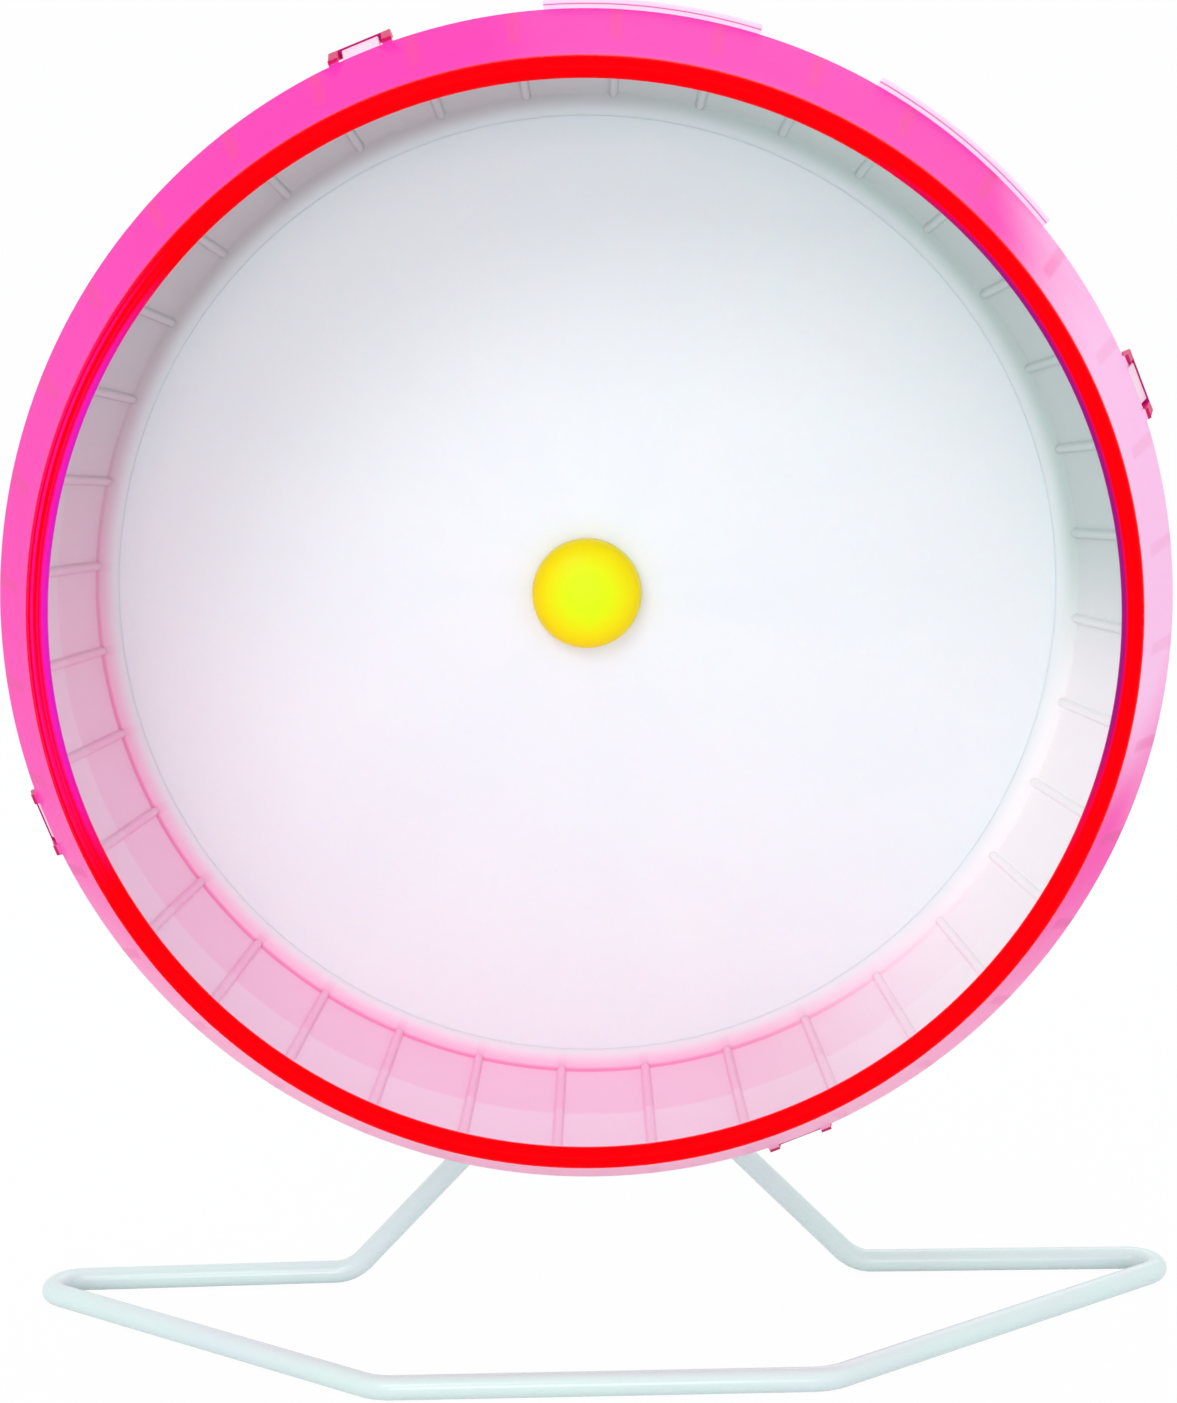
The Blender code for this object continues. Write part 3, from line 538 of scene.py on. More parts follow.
def add_node(tree, kind, inputs=None, **settings):
    """Adds a node with its settings and its inputs."""
    node = tree.nodes.new(kind)
    for key, value in settings.items():
        setattr(node, key, value)
    set_inputs(tree, node, inputs or {})
    return node


def new_finish(name):
    """An empty node material and its Principled shader."""
    material = bpy.data.materials.new(name)
    material.use_nodes = True
    tree = material.node_tree
    return material, tree, tree.nodes["Principled BSDF"]


def blend_colour(tree, share, first, second):
    """A colour between two colours or sockets, by a share from 0 to 1."""
    inputs = {"Factor": share, FIRST_COLOUR: first, SECOND_COLOUR: second}
    return add_node(tree, "ShaderNodeMix", inputs, data_type="RGBA").outputs[MIXED_COLOUR]


def ramp(tree, value, start, end):
    """A smooth rise from 0 at start to 1 at end; it falls where start is above end."""
    inputs = {"Value": value, "From Min": start, "From Max": end}
    return add_node(tree, "ShaderNodeMapRange", inputs, interpolation_type="SMOOTHSTEP").outputs["Result"]


def calculate(tree, operation, first, second):
    """A sum, a difference or another reckoning of two sockets or numbers."""
    return add_node(tree, "ShaderNodeMath", {0: first, 1: second}, operation=operation).outputs["Value"]


def times(tree, first, second):
    """The product of two sockets or numbers."""
    return calculate(tree, "MULTIPLY", first, second)


def axle_coordinates(tree):
    """Sockets with place, depth, radius, unit direction from the axle and angle round it."""
    place = add_node(tree, "ShaderNodeTexCoord").outputs["Object"]
    shift = {"Location": (0, -LIP_FRONT, -AXLE_HEIGHT), "Vector": place}
    centred = add_node(tree, "ShaderNodeMapping", shift).outputs["Vector"]
    parts = add_node(tree, "ShaderNodeSeparateXYZ", {"Vector": centred}).outputs
    flat = add_node(tree, "ShaderNodeCombineXYZ", {"X": parts["X"], "Z": parts["Z"]}).outputs["Vector"]
    radius = add_node(tree, "ShaderNodeVectorMath", {0: flat}, operation="LENGTH")
    direction = add_node(tree, "ShaderNodeVectorMath", {0: flat}, operation="NORMALIZE")
    return {
        "place": centred,
        "depth": parts["Y"],
        "radius": radius.outputs["Value"],
        "direction": direction.outputs["Vector"],
        "angle": calculate(tree, "ARCTAN2", parts["Z"], parts["X"]),
    }


def toward(tree, coords, degrees):
    """How far the way from the axle agrees with an angle round it: 1 in line with it, -1 opposite."""
    way = (math.cos(math.radians(degrees)), 0, math.sin(math.radians(degrees)))
    inputs = {0: coords["direction"], 1: way}
    return add_node(tree, "ShaderNodeVectorMath", inputs, operation="DOT_PRODUCT").outputs["Value"]


def on_side(tree, coords, degrees, start, end):
    """A share that rises toward one side of the drum, while toward() goes from start to end."""
    return ramp(tree, toward(tree, coords, degrees), start, end)


def rib_mask(tree, coords, drum, spread):
    """1 on the ribs of the running surface and 0 between them, soft over a spread of their width."""
    turned = calculate(tree, "SUBTRACT", coords["angle"], drum.rib_phase)
    wave = calculate(tree, "COSINE", times(tree, turned, drum.rib_count), 0)
    half = drum.rib_count * drum.rib_width / 2 / drum.seam_radius
    return ramp(tree, wave, math.cos(half * (1 + spread)), math.cos(half * (1 - spread)))


def streaks(tree, coords, round_scale, cross_scale, detail=3.0):
    """Noise drawn out along the flow of the melt: fine across and long round the axle, or the other way."""
    inputs = {0: coords["direction"], "Scale": round_scale}
    around = add_node(tree, "ShaderNodeVectorMath", inputs, operation="SCALE").outputs["Vector"]
    across = times(tree, calculate(tree, "ADD", coords["radius"], coords["depth"]), cross_scale)
    lifted = add_node(tree, "ShaderNodeCombineXYZ", {"Y": across}).outputs["Vector"]
    flow = add_node(tree, "ShaderNodeVectorMath", {0: around, 1: lifted}, operation="ADD")
    inputs = {"Vector": flow.outputs["Vector"], "Scale": 1.0, "Detail": detail, "Roughness": 0.55}
    return add_node(tree, "ShaderNodeTexNoise", inputs).outputs["Fac"]


def mottled(tree, noise, first, second, start=0.35, end=0.7):
    """Two near colours that change into each other where a noise goes from start to end."""
    return blend_colour(tree, ramp(tree, noise, start, end), first, second)


def mould(
    tree, shader, coords, colour, roughness, ior, milkiness, milk=(1.0, 0.2, 0.1), bump=0.2, patch=8.1 * MM
):
    """Gives a moulded plastic its colour, gloss and milkiness, and the faint unevenness of a moulded face.

    The mould's real texture is finer than a pixel of the render, so it is drawn coarser.
    """
    noise = {"Vector": coords["place"], "Scale": 1 / patch, "Detail": 4.0}
    height = add_node(tree, "ShaderNodeTexNoise", noise).outputs["Fac"]
    face = {"Height": height, "Strength": bump, "Distance": 0.1 * MM}
    inputs = {
        "Base Color": colour,
        "Roughness": roughness,
        "IOR": ior,
        "Subsurface Weight": milkiness,
        "Subsurface Radius": milk,
        "Subsurface Scale": 2 * MM,
        "Normal": add_node(tree, "ShaderNodeBump", face).outputs["Normal"],
    }
    set_inputs(tree, shader, inputs)


def painted_inside_light_and_shade(tree, coords, looks):
    """Painted light and shade inside the drum, where its pink gives way: a painted smoky shade overhead,
    warmer at the upper left and cooler at the upper right, and a painted pale light at the lower right.
    """
    # Painted shade overhead, cooler toward the upper right
    cool = on_side(tree, coords, PAINTED_COOL_SHADE_SIDE, 0.1, 0.8)
    roof = blend_colour(tree, cool, looks.roof_painted_warm_shade, looks.roof_painted_cool_shade)
    # Painted light: nearly white toward the lower right
    pale = on_side(tree, coords, PAINTED_BRIGHT_SIDE, 0.74, 0.98)
    return blend_colour(tree, pale, roof, looks.side_painted_light)


def lip_colour(tree, coords, drum, looks):
    """Red, with painted reflections at the left, magenta streaks and a violet inner edge, and a painted
    shade at the right, where the inner edge turns plum.
    """
    bead_middle = drum.lip_radius - drum.lip_bead / 2
    # The lip's inner edge, which carries the painted violet reflection at the left
    curl = ramp(tree, coords["radius"], bead_middle - 1.1 * MM, bead_middle - 1.9 * MM)
    # The innermost edge of the lip, painted as shade at the right
    inmost = ramp(tree, coords["radius"], bead_middle - 1.3 * MM, bead_middle - 2.0 * MM)
    # Painted reflection: streaks that show only toward the left of the lip
    flow = streaks(tree, coords, round_scale=0.5, cross_scale=1100.0, detail=1.0)
    flow = ramp(tree, flow, 0.42, 0.56)
    colour = looks.lip_red
    # Painted reflections at the left and painted shade at the right of the lip
    for mask, side, start, end, tone in (
        (flow, PAINTED_REFLECTION_SIDE, 0.8, 0.96, looks.lip_painted_reflection_streaks),
        (curl, PAINTED_REFLECTION_SIDE, 0.82, 0.97, looks.lip_painted_violet_reflection),
        (inmost, PAINTED_LIP_SHADE_SIDE, 0.72, 0.93, looks.lip_painted_plum_shade),
    ):
        share = times(tree, mask, on_side(tree, coords, side, start, end))
        colour = blend_colour(tree, share, colour, tone)
    return colour


def tinted_shell_finish(drum, looks):
    """Clear-tinted polystyrene, injection moulded: glossy, lit from inside, redder where it is thick.

    Light and shade are painted into the tint: strong at the top and left, where the wall is seen against
    shade, painted pale toward the right and the ground, where light passes through, and drawn out in long
    streaks by the flow of the melt.
    """
    material, tree, shader = new_finish("moulded_pink_polystyrene")
    coords = axle_coordinates(tree)
    depth, radius = coords["depth"], coords["radius"]
    unevenness, rib_share, rib_fade_in_painted_light = 0.35, 0.6, 0.45

    flow = streaks(tree, coords, round_scale=1.1, cross_scale=6.0)
    flow = times(tree, calculate(tree, "SUBTRACT", flow, 0.5), unevenness)
    # Painted light: the band turns pale toward the right side of the drum
    painted_light_share = ramp(tree, calculate(tree, "ADD", toward(tree, coords, PAINTED_LIGHT_SIDE), flow), 0.78, 0.98)
    band = blend_colour(tree, painted_light_share, looks.band_hot, looks.band_painted_light)
    # Painted light from below: paler where the shell faces the ground
    low = ramp(tree, calculate(tree, "ADD", toward(tree, coords, PAINTED_LIGHT_BELOW_SIDE), flow), 0.3, 0.92)
    band = blend_colour(tree, low, band, looks.band_painted_underlight)

    # The ribs fade where the shell is painted pale by light from the right and from below
    loss = times(tree, calculate(tree, "MAXIMUM", painted_light_share, low), rib_fade_in_painted_light)
    ribs = times(tree, rib_mask(tree, coords, drum, 0.5), calculate(tree, "SUBTRACT", rib_share, loss))
    through = ramp(tree, depth, drum.front_rib_start - MM, drum.front_rib_start + 3 * MM)
    band = blend_colour(tree, times(tree, ribs, through), band, looks.band_rib)

    skin = calculate(tree, "SUBTRACT", radius, times(tree, depth, math.tan(drum_slope(drum))))
    outer_skin = front_outer(drum, 0)
    inside = ramp(tree, skin, outer_skin - drum.wall * 0.7, outer_skin - drum.wall * 0.9)
    # Painted light and shade: the inner skin is pink only toward the lower left, where light shines through
    # it, and takes the painted inside light and shade elsewhere
    tinted = on_side(tree, coords, PAINTED_PINK_LIGHT_SIDE, -0.1, 0.9)
    inner_skin = blend_colour(tree, tinted, painted_inside_light_and_shade(tree, coords, looks), looks.band_inside)
    band = blend_colour(tree, inside, band, inner_skin)

    lip = ramp(tree, depth, drum.lip_bead * 0.7, drum.lip_bead * 0.4)
    colour = blend_colour(tree, lip, band, lip_colour(tree, coords, drum, looks))
    legs = ramp(tree, radius, drum.seam_radius + 0.05 * MM, drum.seam_radius + 0.3 * MM)
    colour = blend_colour(tree, legs, colour, looks.loop_leg)
    bar_start = drum.seam_depth + drum.latch_reach - drum.latch_bar
    bars = ramp(tree, depth, bar_start - 0.5 * MM, bar_start)
    colour = blend_colour(tree, bars, colour, looks.loop_bar)
    milk = (1.0, 0.35, 0.7)
    mould(tree, shader, coords, colour, roughness=0.3, ior=1.05, milkiness=0.3, milk=milk, bump=0.25)
    return material


def pale_shell_finish(drum, panel, looks):
    """Lightly tinted polystyrene, injection moulded: milky pink that deepens in the ribs and the corner.
    Inside, light and shade are painted: pink only toward the lower left, a painted shading edge across the
    running surface, and painted light and shade elsewhere.
    """
    material, tree, shader = new_finish("moulded_pale_pink_polystyrene")
    coords = axle_coordinates(tree)
    depth, radius = coords["depth"], coords["radius"]
    back = drum.back_depth
    painted_shade_edge_share, unevenness, rib_share = 0.53, 0.4, 0.25

    taper = (back_inner(drum, back) - back_inner(drum, 0)) / back
    behind_seam = calculate(tree, "SUBTRACT", depth, drum.seam_depth)
    skin = calculate(tree, "SUBTRACT", radius, times(tree, behind_seam, taper))
    inside = ramp(tree, skin, drum.seam_radius - drum.wall * 0.4, drum.seam_radius - drum.wall * 0.8)
    inside = times(tree, inside, ramp(tree, depth, back + MM, back + 0.5 * MM))

    # Painted shade: a shading edge across the running surface, behind which it is painted deeper pink
    zone = drum.seam_depth + painted_shade_edge_share * (back - drum.seam_depth)
    far = times(tree, ramp(tree, depth, zone, zone + 1.2 * MM), inside)
    colour = blend_colour(tree, far, looks.running_near, looks.running_painted_shade)
    flow = streaks(tree, coords, round_scale=1.5, cross_scale=25.0)
    uneven = times(tree, ramp(tree, flow, 0.45, 0.75), unevenness)
    colour = blend_colour(tree, uneven, colour, looks.running_near)
    ribs = times(tree, rib_mask(tree, coords, drum, 0.35), rib_share)
    colour = blend_colour(tree, times(tree, ribs, inside), colour, looks.rib_pink)
    corner = ramp(tree, depth, back - 0.7 * MM, back - 0.2 * MM)
    rim = ramp(tree, radius, drum.back_radius - 1.2 * MM, drum.back_radius - 0.2 * MM)
    colour = blend_colour(tree, times(tree, corner, rim), colour, looks.rib_pink)
    # Painted light and shade: the running surface is pink only toward the lower left, where light shines
    # through it, and takes the painted inside light and shade elsewhere; the outer skin stays pink all
    # round
    tinted = on_side(tree, coords, PAINTED_PINK_LIGHT_SIDE, -0.1, 0.9)
    tinted = calculate(tree, "MAXIMUM", tinted, calculate(tree, "SUBTRACT", 1.0, inside))
    colour = blend_colour(tree, tinted, painted_inside_light_and_shade(tree, coords, looks), colour)

    step = drum.seam_radius + drum.lug_rise * 0.5
    soft = 0.3 * MM
    line = times(tree, ramp(tree, radius, step - soft, step), ramp(tree, radius, step + soft, step))
    lug_front = drum.seam_depth + drum.lug_start
    line = times(tree, line, ramp(tree, depth, lug_front + MM, lug_front + 0.5 * MM))
    colour = blend_colour(tree, line, colour, looks.lug_line)
    fade = ramp(tree, radius, drum.back_radius - 0.8 * MM, drum.back_radius - panel.border)
    colour = blend_colour(tree, times(tree, corner, fade), colour, looks.panel_white)
    milk = (1.0, 0.7, 0.85)
    mould(tree, shader, coords, colour, roughness=0.36, ior=1.15, milkiness=0.3, milk=milk)
    return material


def white_panel_finish(looks):
    """White polystyrene, injection moulded with a fine satin face."""
    material, tree, shader = new_finish("moulded_white_polystyrene")
    coords = axle_coordinates(tree)
    flow = streaks(tree, coords, round_scale=2.0, cross_scale=12.0)
    colour = mottled(tree, flow, looks.panel_white, looks.panel_flow, start=0.3, end=0.8)
    mould(tree, shader, coords, colour, roughness=0.45, ior=1.5, milkiness=0.2)
    return material


def yellow_cap_finish(panel, looks):
    """Yellow polyethylene, injection moulded: soft gloss, with painted shading, lighter and greener in the
    middle and darker amber at the rim, as light falls on the dome.
    """
    material, tree, shader = new_finish("moulded_yellow_polyethylene")
    coords = axle_coordinates(tree)
    flow = streaks(tree, coords, round_scale=1.0, cross_scale=300.0)
    flow = times(tree, calculate(tree, "SUBTRACT", flow, 0.5), MM)
    # Painted shading: lighter in the middle, darker toward the rim
    outward = calculate(tree, "ADD", coords["radius"], flow)
    outward = ramp(tree, outward, panel.cap_radius * 0.25, panel.cap_radius)
    colour = blend_colour(tree, outward, looks.cap_painted_lit_middle, looks.cap_painted_shaded_rim)
    milk, patch = (1.0, 0.9, 0.2), 4.5 * MM
    mould(tree, shader, coords, colour, roughness=0.38, ior=1.25, milkiness=0.3, milk=milk, patch=patch)
    return material


def coated_wire_finish(looks):
    """Steel wire dipped in white PVC: a glossy skin with the slow ripple of a dipped coat."""
    material, tree, shader = new_finish("dipped_white_vinyl")
    place = add_node(tree, "ShaderNodeTexCoord").outputs["Object"]
    patches = {"Vector": place, "Scale": 1 / (40 * MM), "Detail": 2.0}
    tone = add_node(tree, "ShaderNodeTexNoise", patches).outputs["Fac"]
    waves = {"Vector": place, "Scale": 1 / (6 * MM), "Detail": 1.0}
    height = add_node(tree, "ShaderNodeTexNoise", waves).outputs["Fac"]
    ripple = {"Height": height, "Strength": 0.2, "Distance": 0.2 * MM}
    inputs = {
        "Base Color": mottled(tree, tone, looks.coat_white, looks.coat_cool),
        "Roughness": 0.22,
        "IOR": 1.53,
        "Normal": add_node(tree, "ShaderNodeBump", ripple).outputs["Normal"],
    }
    set_inputs(tree, shader, inputs)
    return material


def nylon_finish(looks):
    """Natural nylon, moulded: waxy, slightly translucent and matt."""
    material, tree, shader = new_finish("natural_nylon")
    place = add_node(tree, "ShaderNodeTexCoord").outputs["Object"]
    patches = {"Vector": place, "Scale": 1 / (3 * MM), "Detail": 3.0}
    tone = add_node(tree, "ShaderNodeTexNoise", patches).outputs["Fac"]
    inputs = {
        "Base Color": mottled(tree, tone, looks.nylon, looks.nylon_dark),
        "Roughness": 0.5,
        "IOR": 1.53,
        "Subsurface Weight": 0.3,
        "Subsurface Scale": MM,
    }
    set_inputs(tree, shader, inputs)
    return material


def turned_steel_finish(name, colour, roughness):
    """Plated steel, turned or punched: fine rings round the axle, and a plating that is slightly cloudy."""
    material, tree, shader = new_finish(name)
    coords = axle_coordinates(tree)
    cloudy_share = 0.72
    rings = streaks(tree, coords, round_scale=0.3, cross_scale=1 / (0.25 * MM), detail=2.0)
    turning = {"Height": rings, "Strength": 0.25, "Distance": 0.05 * MM}
    patches = {"Vector": coords["place"], "Scale": 1 / (2.5 * MM), "Detail": 3.0}
    plating = add_node(tree, "ShaderNodeTexNoise", patches).outputs["Fac"]
    darker = [channel * cloudy_share for channel in colour[:3]] + [1.0]
    dull = {"Value": plating, "To Min": roughness - 0.07, "To Max": roughness + 0.12}
    inputs = {
        "Base Color": mottled(tree, plating, colour, darker),
        "Metallic": 1.0,
        "Roughness": add_node(tree, "ShaderNodeMapRange", dull).outputs["Result"],
        "Normal": add_node(tree, "ShaderNodeBump", turning).outputs["Normal"],
    }
    set_inputs(tree, shader, inputs)
    return material


def seen_directly(tree):
    """1 for rays that look at a face straight, in a reflection or through something clear, else 0."""
    rays = add_node(tree, "ShaderNodeLightPath").outputs
    seen = calculate(tree, "MAXIMUM", rays["Is Camera Ray"], rays["Is Glossy Ray"])
    return calculate(tree, "MAXIMUM", seen, rays["Is Transmission Ray"])


def paper_finish(looks):
    """Matt white paper. What looks at it directly sees it white, and it keeps a trace of the shadow."""
    material, tree, shader = new_finish("matt_white_paper")
    white_share = 0.96
    place = add_node(tree, "ShaderNodeTexCoord").outputs["Object"]
    patches = {"Vector": place, "Scale": 1 / (4 * MM), "Detail": 4.0}
    fibre = add_node(tree, "ShaderNodeTexNoise", patches).outputs["Fac"]
    inputs = {
        "Base Color": mottled(tree, fibre, looks.floor_white, looks.floor_fibre, start=0.3),
        "Roughness": 0.9,
        "Specular IOR Level": 0.0,
    }
    set_inputs(tree, shader, inputs)
    glow = add_node(tree, "ShaderNodeEmission", {"Color": WHITE, "Strength": 1.0})
    seen = times(tree, seen_directly(tree), white_share)
    mixed = add_node(tree, "ShaderNodeMixShader", {0: seen, 1: shader.outputs[0], 2: glow.outputs[0]})
    set_inputs(tree, tree.nodes["Material Output"], {"Surface": mixed.outputs[0]})
    return material


# Places along the axle


def front_outer(drum, depth):
    """Outer radius of the front cone at a depth."""
    start = drum.lip_bead / 2
    share = (depth - start) / (drum.seam_depth - start)
    return drum.lip_radius + (drum.seam_radius - drum.lip_radius) * share


def drum_slope(drum):
    """Slope of the front cone against the axle."""
    return math.atan2(drum.seam_radius - drum.lip_radius, drum.seam_depth - drum.lip_bead / 2)


def back_inner(drum, depth):
    """Inner radius of the back cone at a depth."""
    share = (depth - drum.seam_depth) / (drum.back_depth - drum.seam_depth)
    return drum.seam_radius - drum.wall + (drum.back_radius - drum.seam_radius + drum.wall) * share


def axle_places(panel, drum, axle):
    """Depths of the faces of the pieces on the axle."""
    gap = axle.clearance
    places = {"boss_front": drum.back_depth - panel.boss_front}
    places["boss_rear"] = drum.back_depth + panel.thickness + panel.boss_rear
    depth = places["boss_front"]
    for name, thickness in (
        ("front_bush", axle.bush_flange),
        ("front_washer", axle.washer_thickness),
        ("head", axle.head_height),
    ):
        places[name + "_back"] = depth - gap
        places[name + "_face"] = depth - gap - thickness
        depth = depth - gap - thickness
    depth = places["boss_rear"]
    for name, thickness in (
        ("rear_bush", axle.bush_flange),
        ("rear_washer", axle.washer_thickness),
        ("sleeve", axle.sleeve_length),
        ("lock_washer", axle.lock_washer_thickness),
        ("nut", axle.nut_thickness),
    ):
        places[name + "_face"] = depth + gap
        places[name + "_back"] = depth + gap + thickness
        depth = depth + gap + thickness
    places["bolt_end"] = depth + axle.bolt_proud
    return places


# Bodies


def ribbed_shell(name, drum, outline, is_rib_place):
    """A shell of one outline round the axle, with ribs pulled up on its inner skin.

    One rib and the wall beside it are swept and shaped, and copied round. is_rib_place(radius, depth) says
    which points of the outline a rib lifts.
    """
    pitch = 2 * math.pi / drum.rib_count
    foot = drum.rib_width / 2 / drum.seam_radius
    wall_steps, rib_steps = 3, 6
    start = drum.rib_phase - pitch / 2
    piece = draw_line(name, [on_axle(radius, depth, start) for radius, depth in outline], closed=True)
    sweep(pitch / 2 - foot, wall_steps)
    sweep(2 * foot, rib_steps)
    sweep(pitch / 2 - foot, wall_steps)
    up = -on_axle(1, 0, drum.rib_phase) + on_axle(0, 0, 0)
    for k in range(rib_steps // 2):
        share = 2 * k / rib_steps
        offset = foot * share

        def lifted(vert):
            radius, depth, angle = polar(vert.co)
            aside = abs(from_nearest(angle, drum.rib_phase, 2 * math.pi))
            return abs(aside - offset) < foot / rib_steps / 2 and is_rib_place(radius, depth)

        select_where("verts", lifted)
        bpy.ops.transform.translate(value=up * drum.rib_height * (1 - share**4))
    bpy.ops.mesh.select_mode(type="VERT")
    repeat_round(drum.rib_count)
    return piece


def first_latch(drum):
    """Angle of the first latch, midway between two ribs."""
    return drum.rib_phase - math.pi / drum.rib_count


def repeat_at_latches(drum):
    """Turns the mesh, which stands at the top, to the first latch and copies it to all of them."""
    bpy.ops.mesh.select_all(action="SELECT")
    turn_about_axle(first_latch(drum) - math.pi / 2)
    repeat_round(drum.latch_count)


def latch_loop_body(drum):
    """All latch loops as closed bodies: two legs that rise from the front cone to a bar at their ends."""
    half = drum.latch_width / 2
    leg = half - drum.latch_leg
    root = drum.seam_depth - drum.latch_root
    window_start = drum.seam_depth + drum.seam_gap
    end = drum.seam_depth + drum.latch_reach
    window_end = end - drum.latch_bar
    plan = [(-half, root), (-leg, root), (-leg, window_end)]
    plan += [(leg, window_end), (leg, root), (half, root), (half, end), (-half, end)]
    base = AXLE_HEIGHT + drum.seam_radius
    reserve = 10 * drum.latch_thickness
    points = [(x, LIP_FRONT + depth, base - reserve) for x, depth in plan]
    body = draw_line("latch_loops", points, closed=True)
    bpy.ops.mesh.edge_face_add()
    bpy.ops.mesh.extrude_region_move(TRANSFORM_OT_translate={"value": (0, 0, 2 * reserve)})
    for depth in (drum.seam_depth, window_start, window_end):
        cut_across(on_axle(0, depth, 0), (0, 1, 0))

    neck = drum.latch_lift + drum.latch_neck
    low = drum.latch_rise - drum.latch_thickness
    sunk = front_outer(drum, root) - drum.seam_radius
    rows = (
        (root, sunk - drum.wall * 0.75, sunk - drum.wall * 0.2),
        (drum.seam_depth, -drum.wall / 2, neck),
        (window_start, drum.latch_lift, neck),
        (window_end, low, drum.latch_rise),
        (end, low, drum.latch_rise),
    )
    for depth, under, over in rows:
        for drawn, height in ((-reserve, under), (reserve, over)):

            def in_row(vert):
                level = vert.co.z - base
                return abs(vert.co.y - LIP_FRONT - depth) < NEAR and abs(level - drawn) < NEAR

            select_where("verts", in_row)
            bpy.ops.transform.translate(value=(0, 0, height - drawn))

    def outer_corner(edge):
        a, b = (vert.co for vert in edge.verts)
        upright = abs(a.x - b.x) < NEAR and abs(a.y - b.y) < NEAR
        return upright and abs(abs(a.x) - half) < NEAR and abs(polar(a)[1] - end) < NEAR

    select_where("edges", outer_corner)
    bevel_selected(drum.latch_corner, segments=5)

    def sharp_past_seam(edge):
        rearmost = max(polar(vert.co)[1] for vert in edge.verts)
        return edge.calc_face_angle(0) > SHARP and rearmost > window_start + NEAR

    select_where("edges", sharp_past_seam)
    bevel_selected(0.3 * MM, segments=2)
    repeat_at_latches(drum)
    return body


def lug_body(drum):
    """Both lugs as closed bodies: a rounded bar swept round part of the seam, and its copy."""
    inside = drum.seam_radius - drum.wall * 2
    outside = drum.seam_radius + drum.lug_rise
    front = drum.seam_depth + drum.lug_start
    back = front + drum.lug_length
    edge = drum.moulded_edge * 1.6
    corners = [(inside, front, 0), (outside, front, edge), (outside, back, edge), (inside, back, 0)]
    between = first_latch(drum) + math.pi / drum.latch_count
    start = between + drum.lug_spread - drum.lug_arc / 2
    body = swept_bar("lugs", rounded(corners), start, drum.lug_arc, steps=20)
    half = drum.lug_arc / 2

    def end_edge(item):
        places = [polar(vert.co) for vert in item.verts]
        offsets = [abs(from_nearest(angle, start + half, 2 * math.pi)) for _radius, _depth, angle in places]
        at_end = all(abs(offset - half) < NEAR_ANGLE for offset in offsets)
        return at_end and all(radius > drum.seam_radius - NEAR for radius, _depth, _angle in places)

    select_where("edges", end_edge)
    bevel_selected(edge * 0.8, segments=2)
    bpy.ops.mesh.select_mode(type="VERT")
    bpy.ops.mesh.select_all(action="SELECT")
    bpy.ops.mesh.spin(steps=1, angle=-2 * drum.lug_spread, dupli=True, center=AXLE, axis=(0, 1, 0))
    merge_and_face_out()
    return body


def tooth_body(drum):
    """All latch teeth as closed bodies: ramps that rise from the back cone to the bar of each loop."""
    start = drum.seam_depth + drum.tooth_start
    end = start + drum.tooth_length
    top = drum.seam_radius + drum.tooth_rise
    bottom = back_inner(drum, end) + drum.wall / 2
    skin = back_inner(drum, start) + drum.wall
    middle = on_axle((top + bottom) / 2, (start + end) / 2, math.pi / 2)
    body = block("latch_teeth", middle, (drum.tooth_width, drum.tooth_length, top - bottom))
    for level, height in ((top, skin + 0.5 * MM), (bottom, skin - drum.wall / 2)):

        def at_front(vert):
            return polar(vert.co)[1] < start + NEAR and abs(vert.co.z - AXLE_HEIGHT - level) < NEAR

        select_where("verts", at_front)
        bpy.ops.transform.translate(value=(0, 0, height - level))
    bevel_sharp(drum.moulded_edge)
    repeat_at_latches(drum)
    return body


def arc_points(middle, radius, start, end, steps):
    """Points of an arc in an outline; the angle runs from outwards over the front."""
    points = []
    for k in range(steps + 1):
        turned = start + (end - start) * k / steps
        points.append((middle[0] + radius * math.cos(turned), middle[1] - radius * math.sin(turned)))
    return points


def bend_points(before, corner, after, bend, steps=12):
    """Points of the arc that rounds a corner of the wire's centre line."""
    back = (before - corner).normalized()
    ahead = (after - corner).normalized()
    half = back.angle(ahead) / 2
    centre = corner + (back + ahead).normalized() * (bend / math.sin(half))
    start = corner + back * (bend / math.tan(half)) - centre
    axis = ahead.cross(back).normalized()
    turned = math.pi - 2 * half
    return [centre + Matrix.Rotation(turned * k / steps, 3, axis) @ start for k in range(steps + 1)]


def hex_block(name, across, face, back, chamfered_back):
    """A hexagon prism on the axle whose corners are turned off to a cone, as on a bolt head or a nut."""
    half_side = math.radians(30)  # angle from the middle of a side to its corner
    chamfer = math.radians(30)  # slope of the cone
    corner = across / 2 / math.cos(half_side)
    flat = across / 2 * 0.94  # radius where the cone meets the end face
    clear_selection()
    bpy.ops.mesh.primitive_cylinder_add(
        vertices=6,
        radius=corner,
        depth=back - face,
        location=on_axle(0, (face + back) / 2, 0),
        rotation=(math.pi / 2, 0, 0),
    )
    prism = start_edit(name)
    turn_about_axle(half_side)
    wide = corner * 1.2
    reach = (wide - flat) * math.tan(chamfer)
    outline = [(0, face, 0), (flat, face, 0), (wide, face + reach, 0)]
    if chamfered_back:
        outline += [(wide, back - reach, 0), (flat, back, 0), (0, back, 0)]
    else:
        outline += [(wide, back + MM, 0), (0, back + MM, 0)]
    cone = lathe(name + "_cone", outline)
    unite(prism, cone, "INTERSECT")
    return prism


# Operators


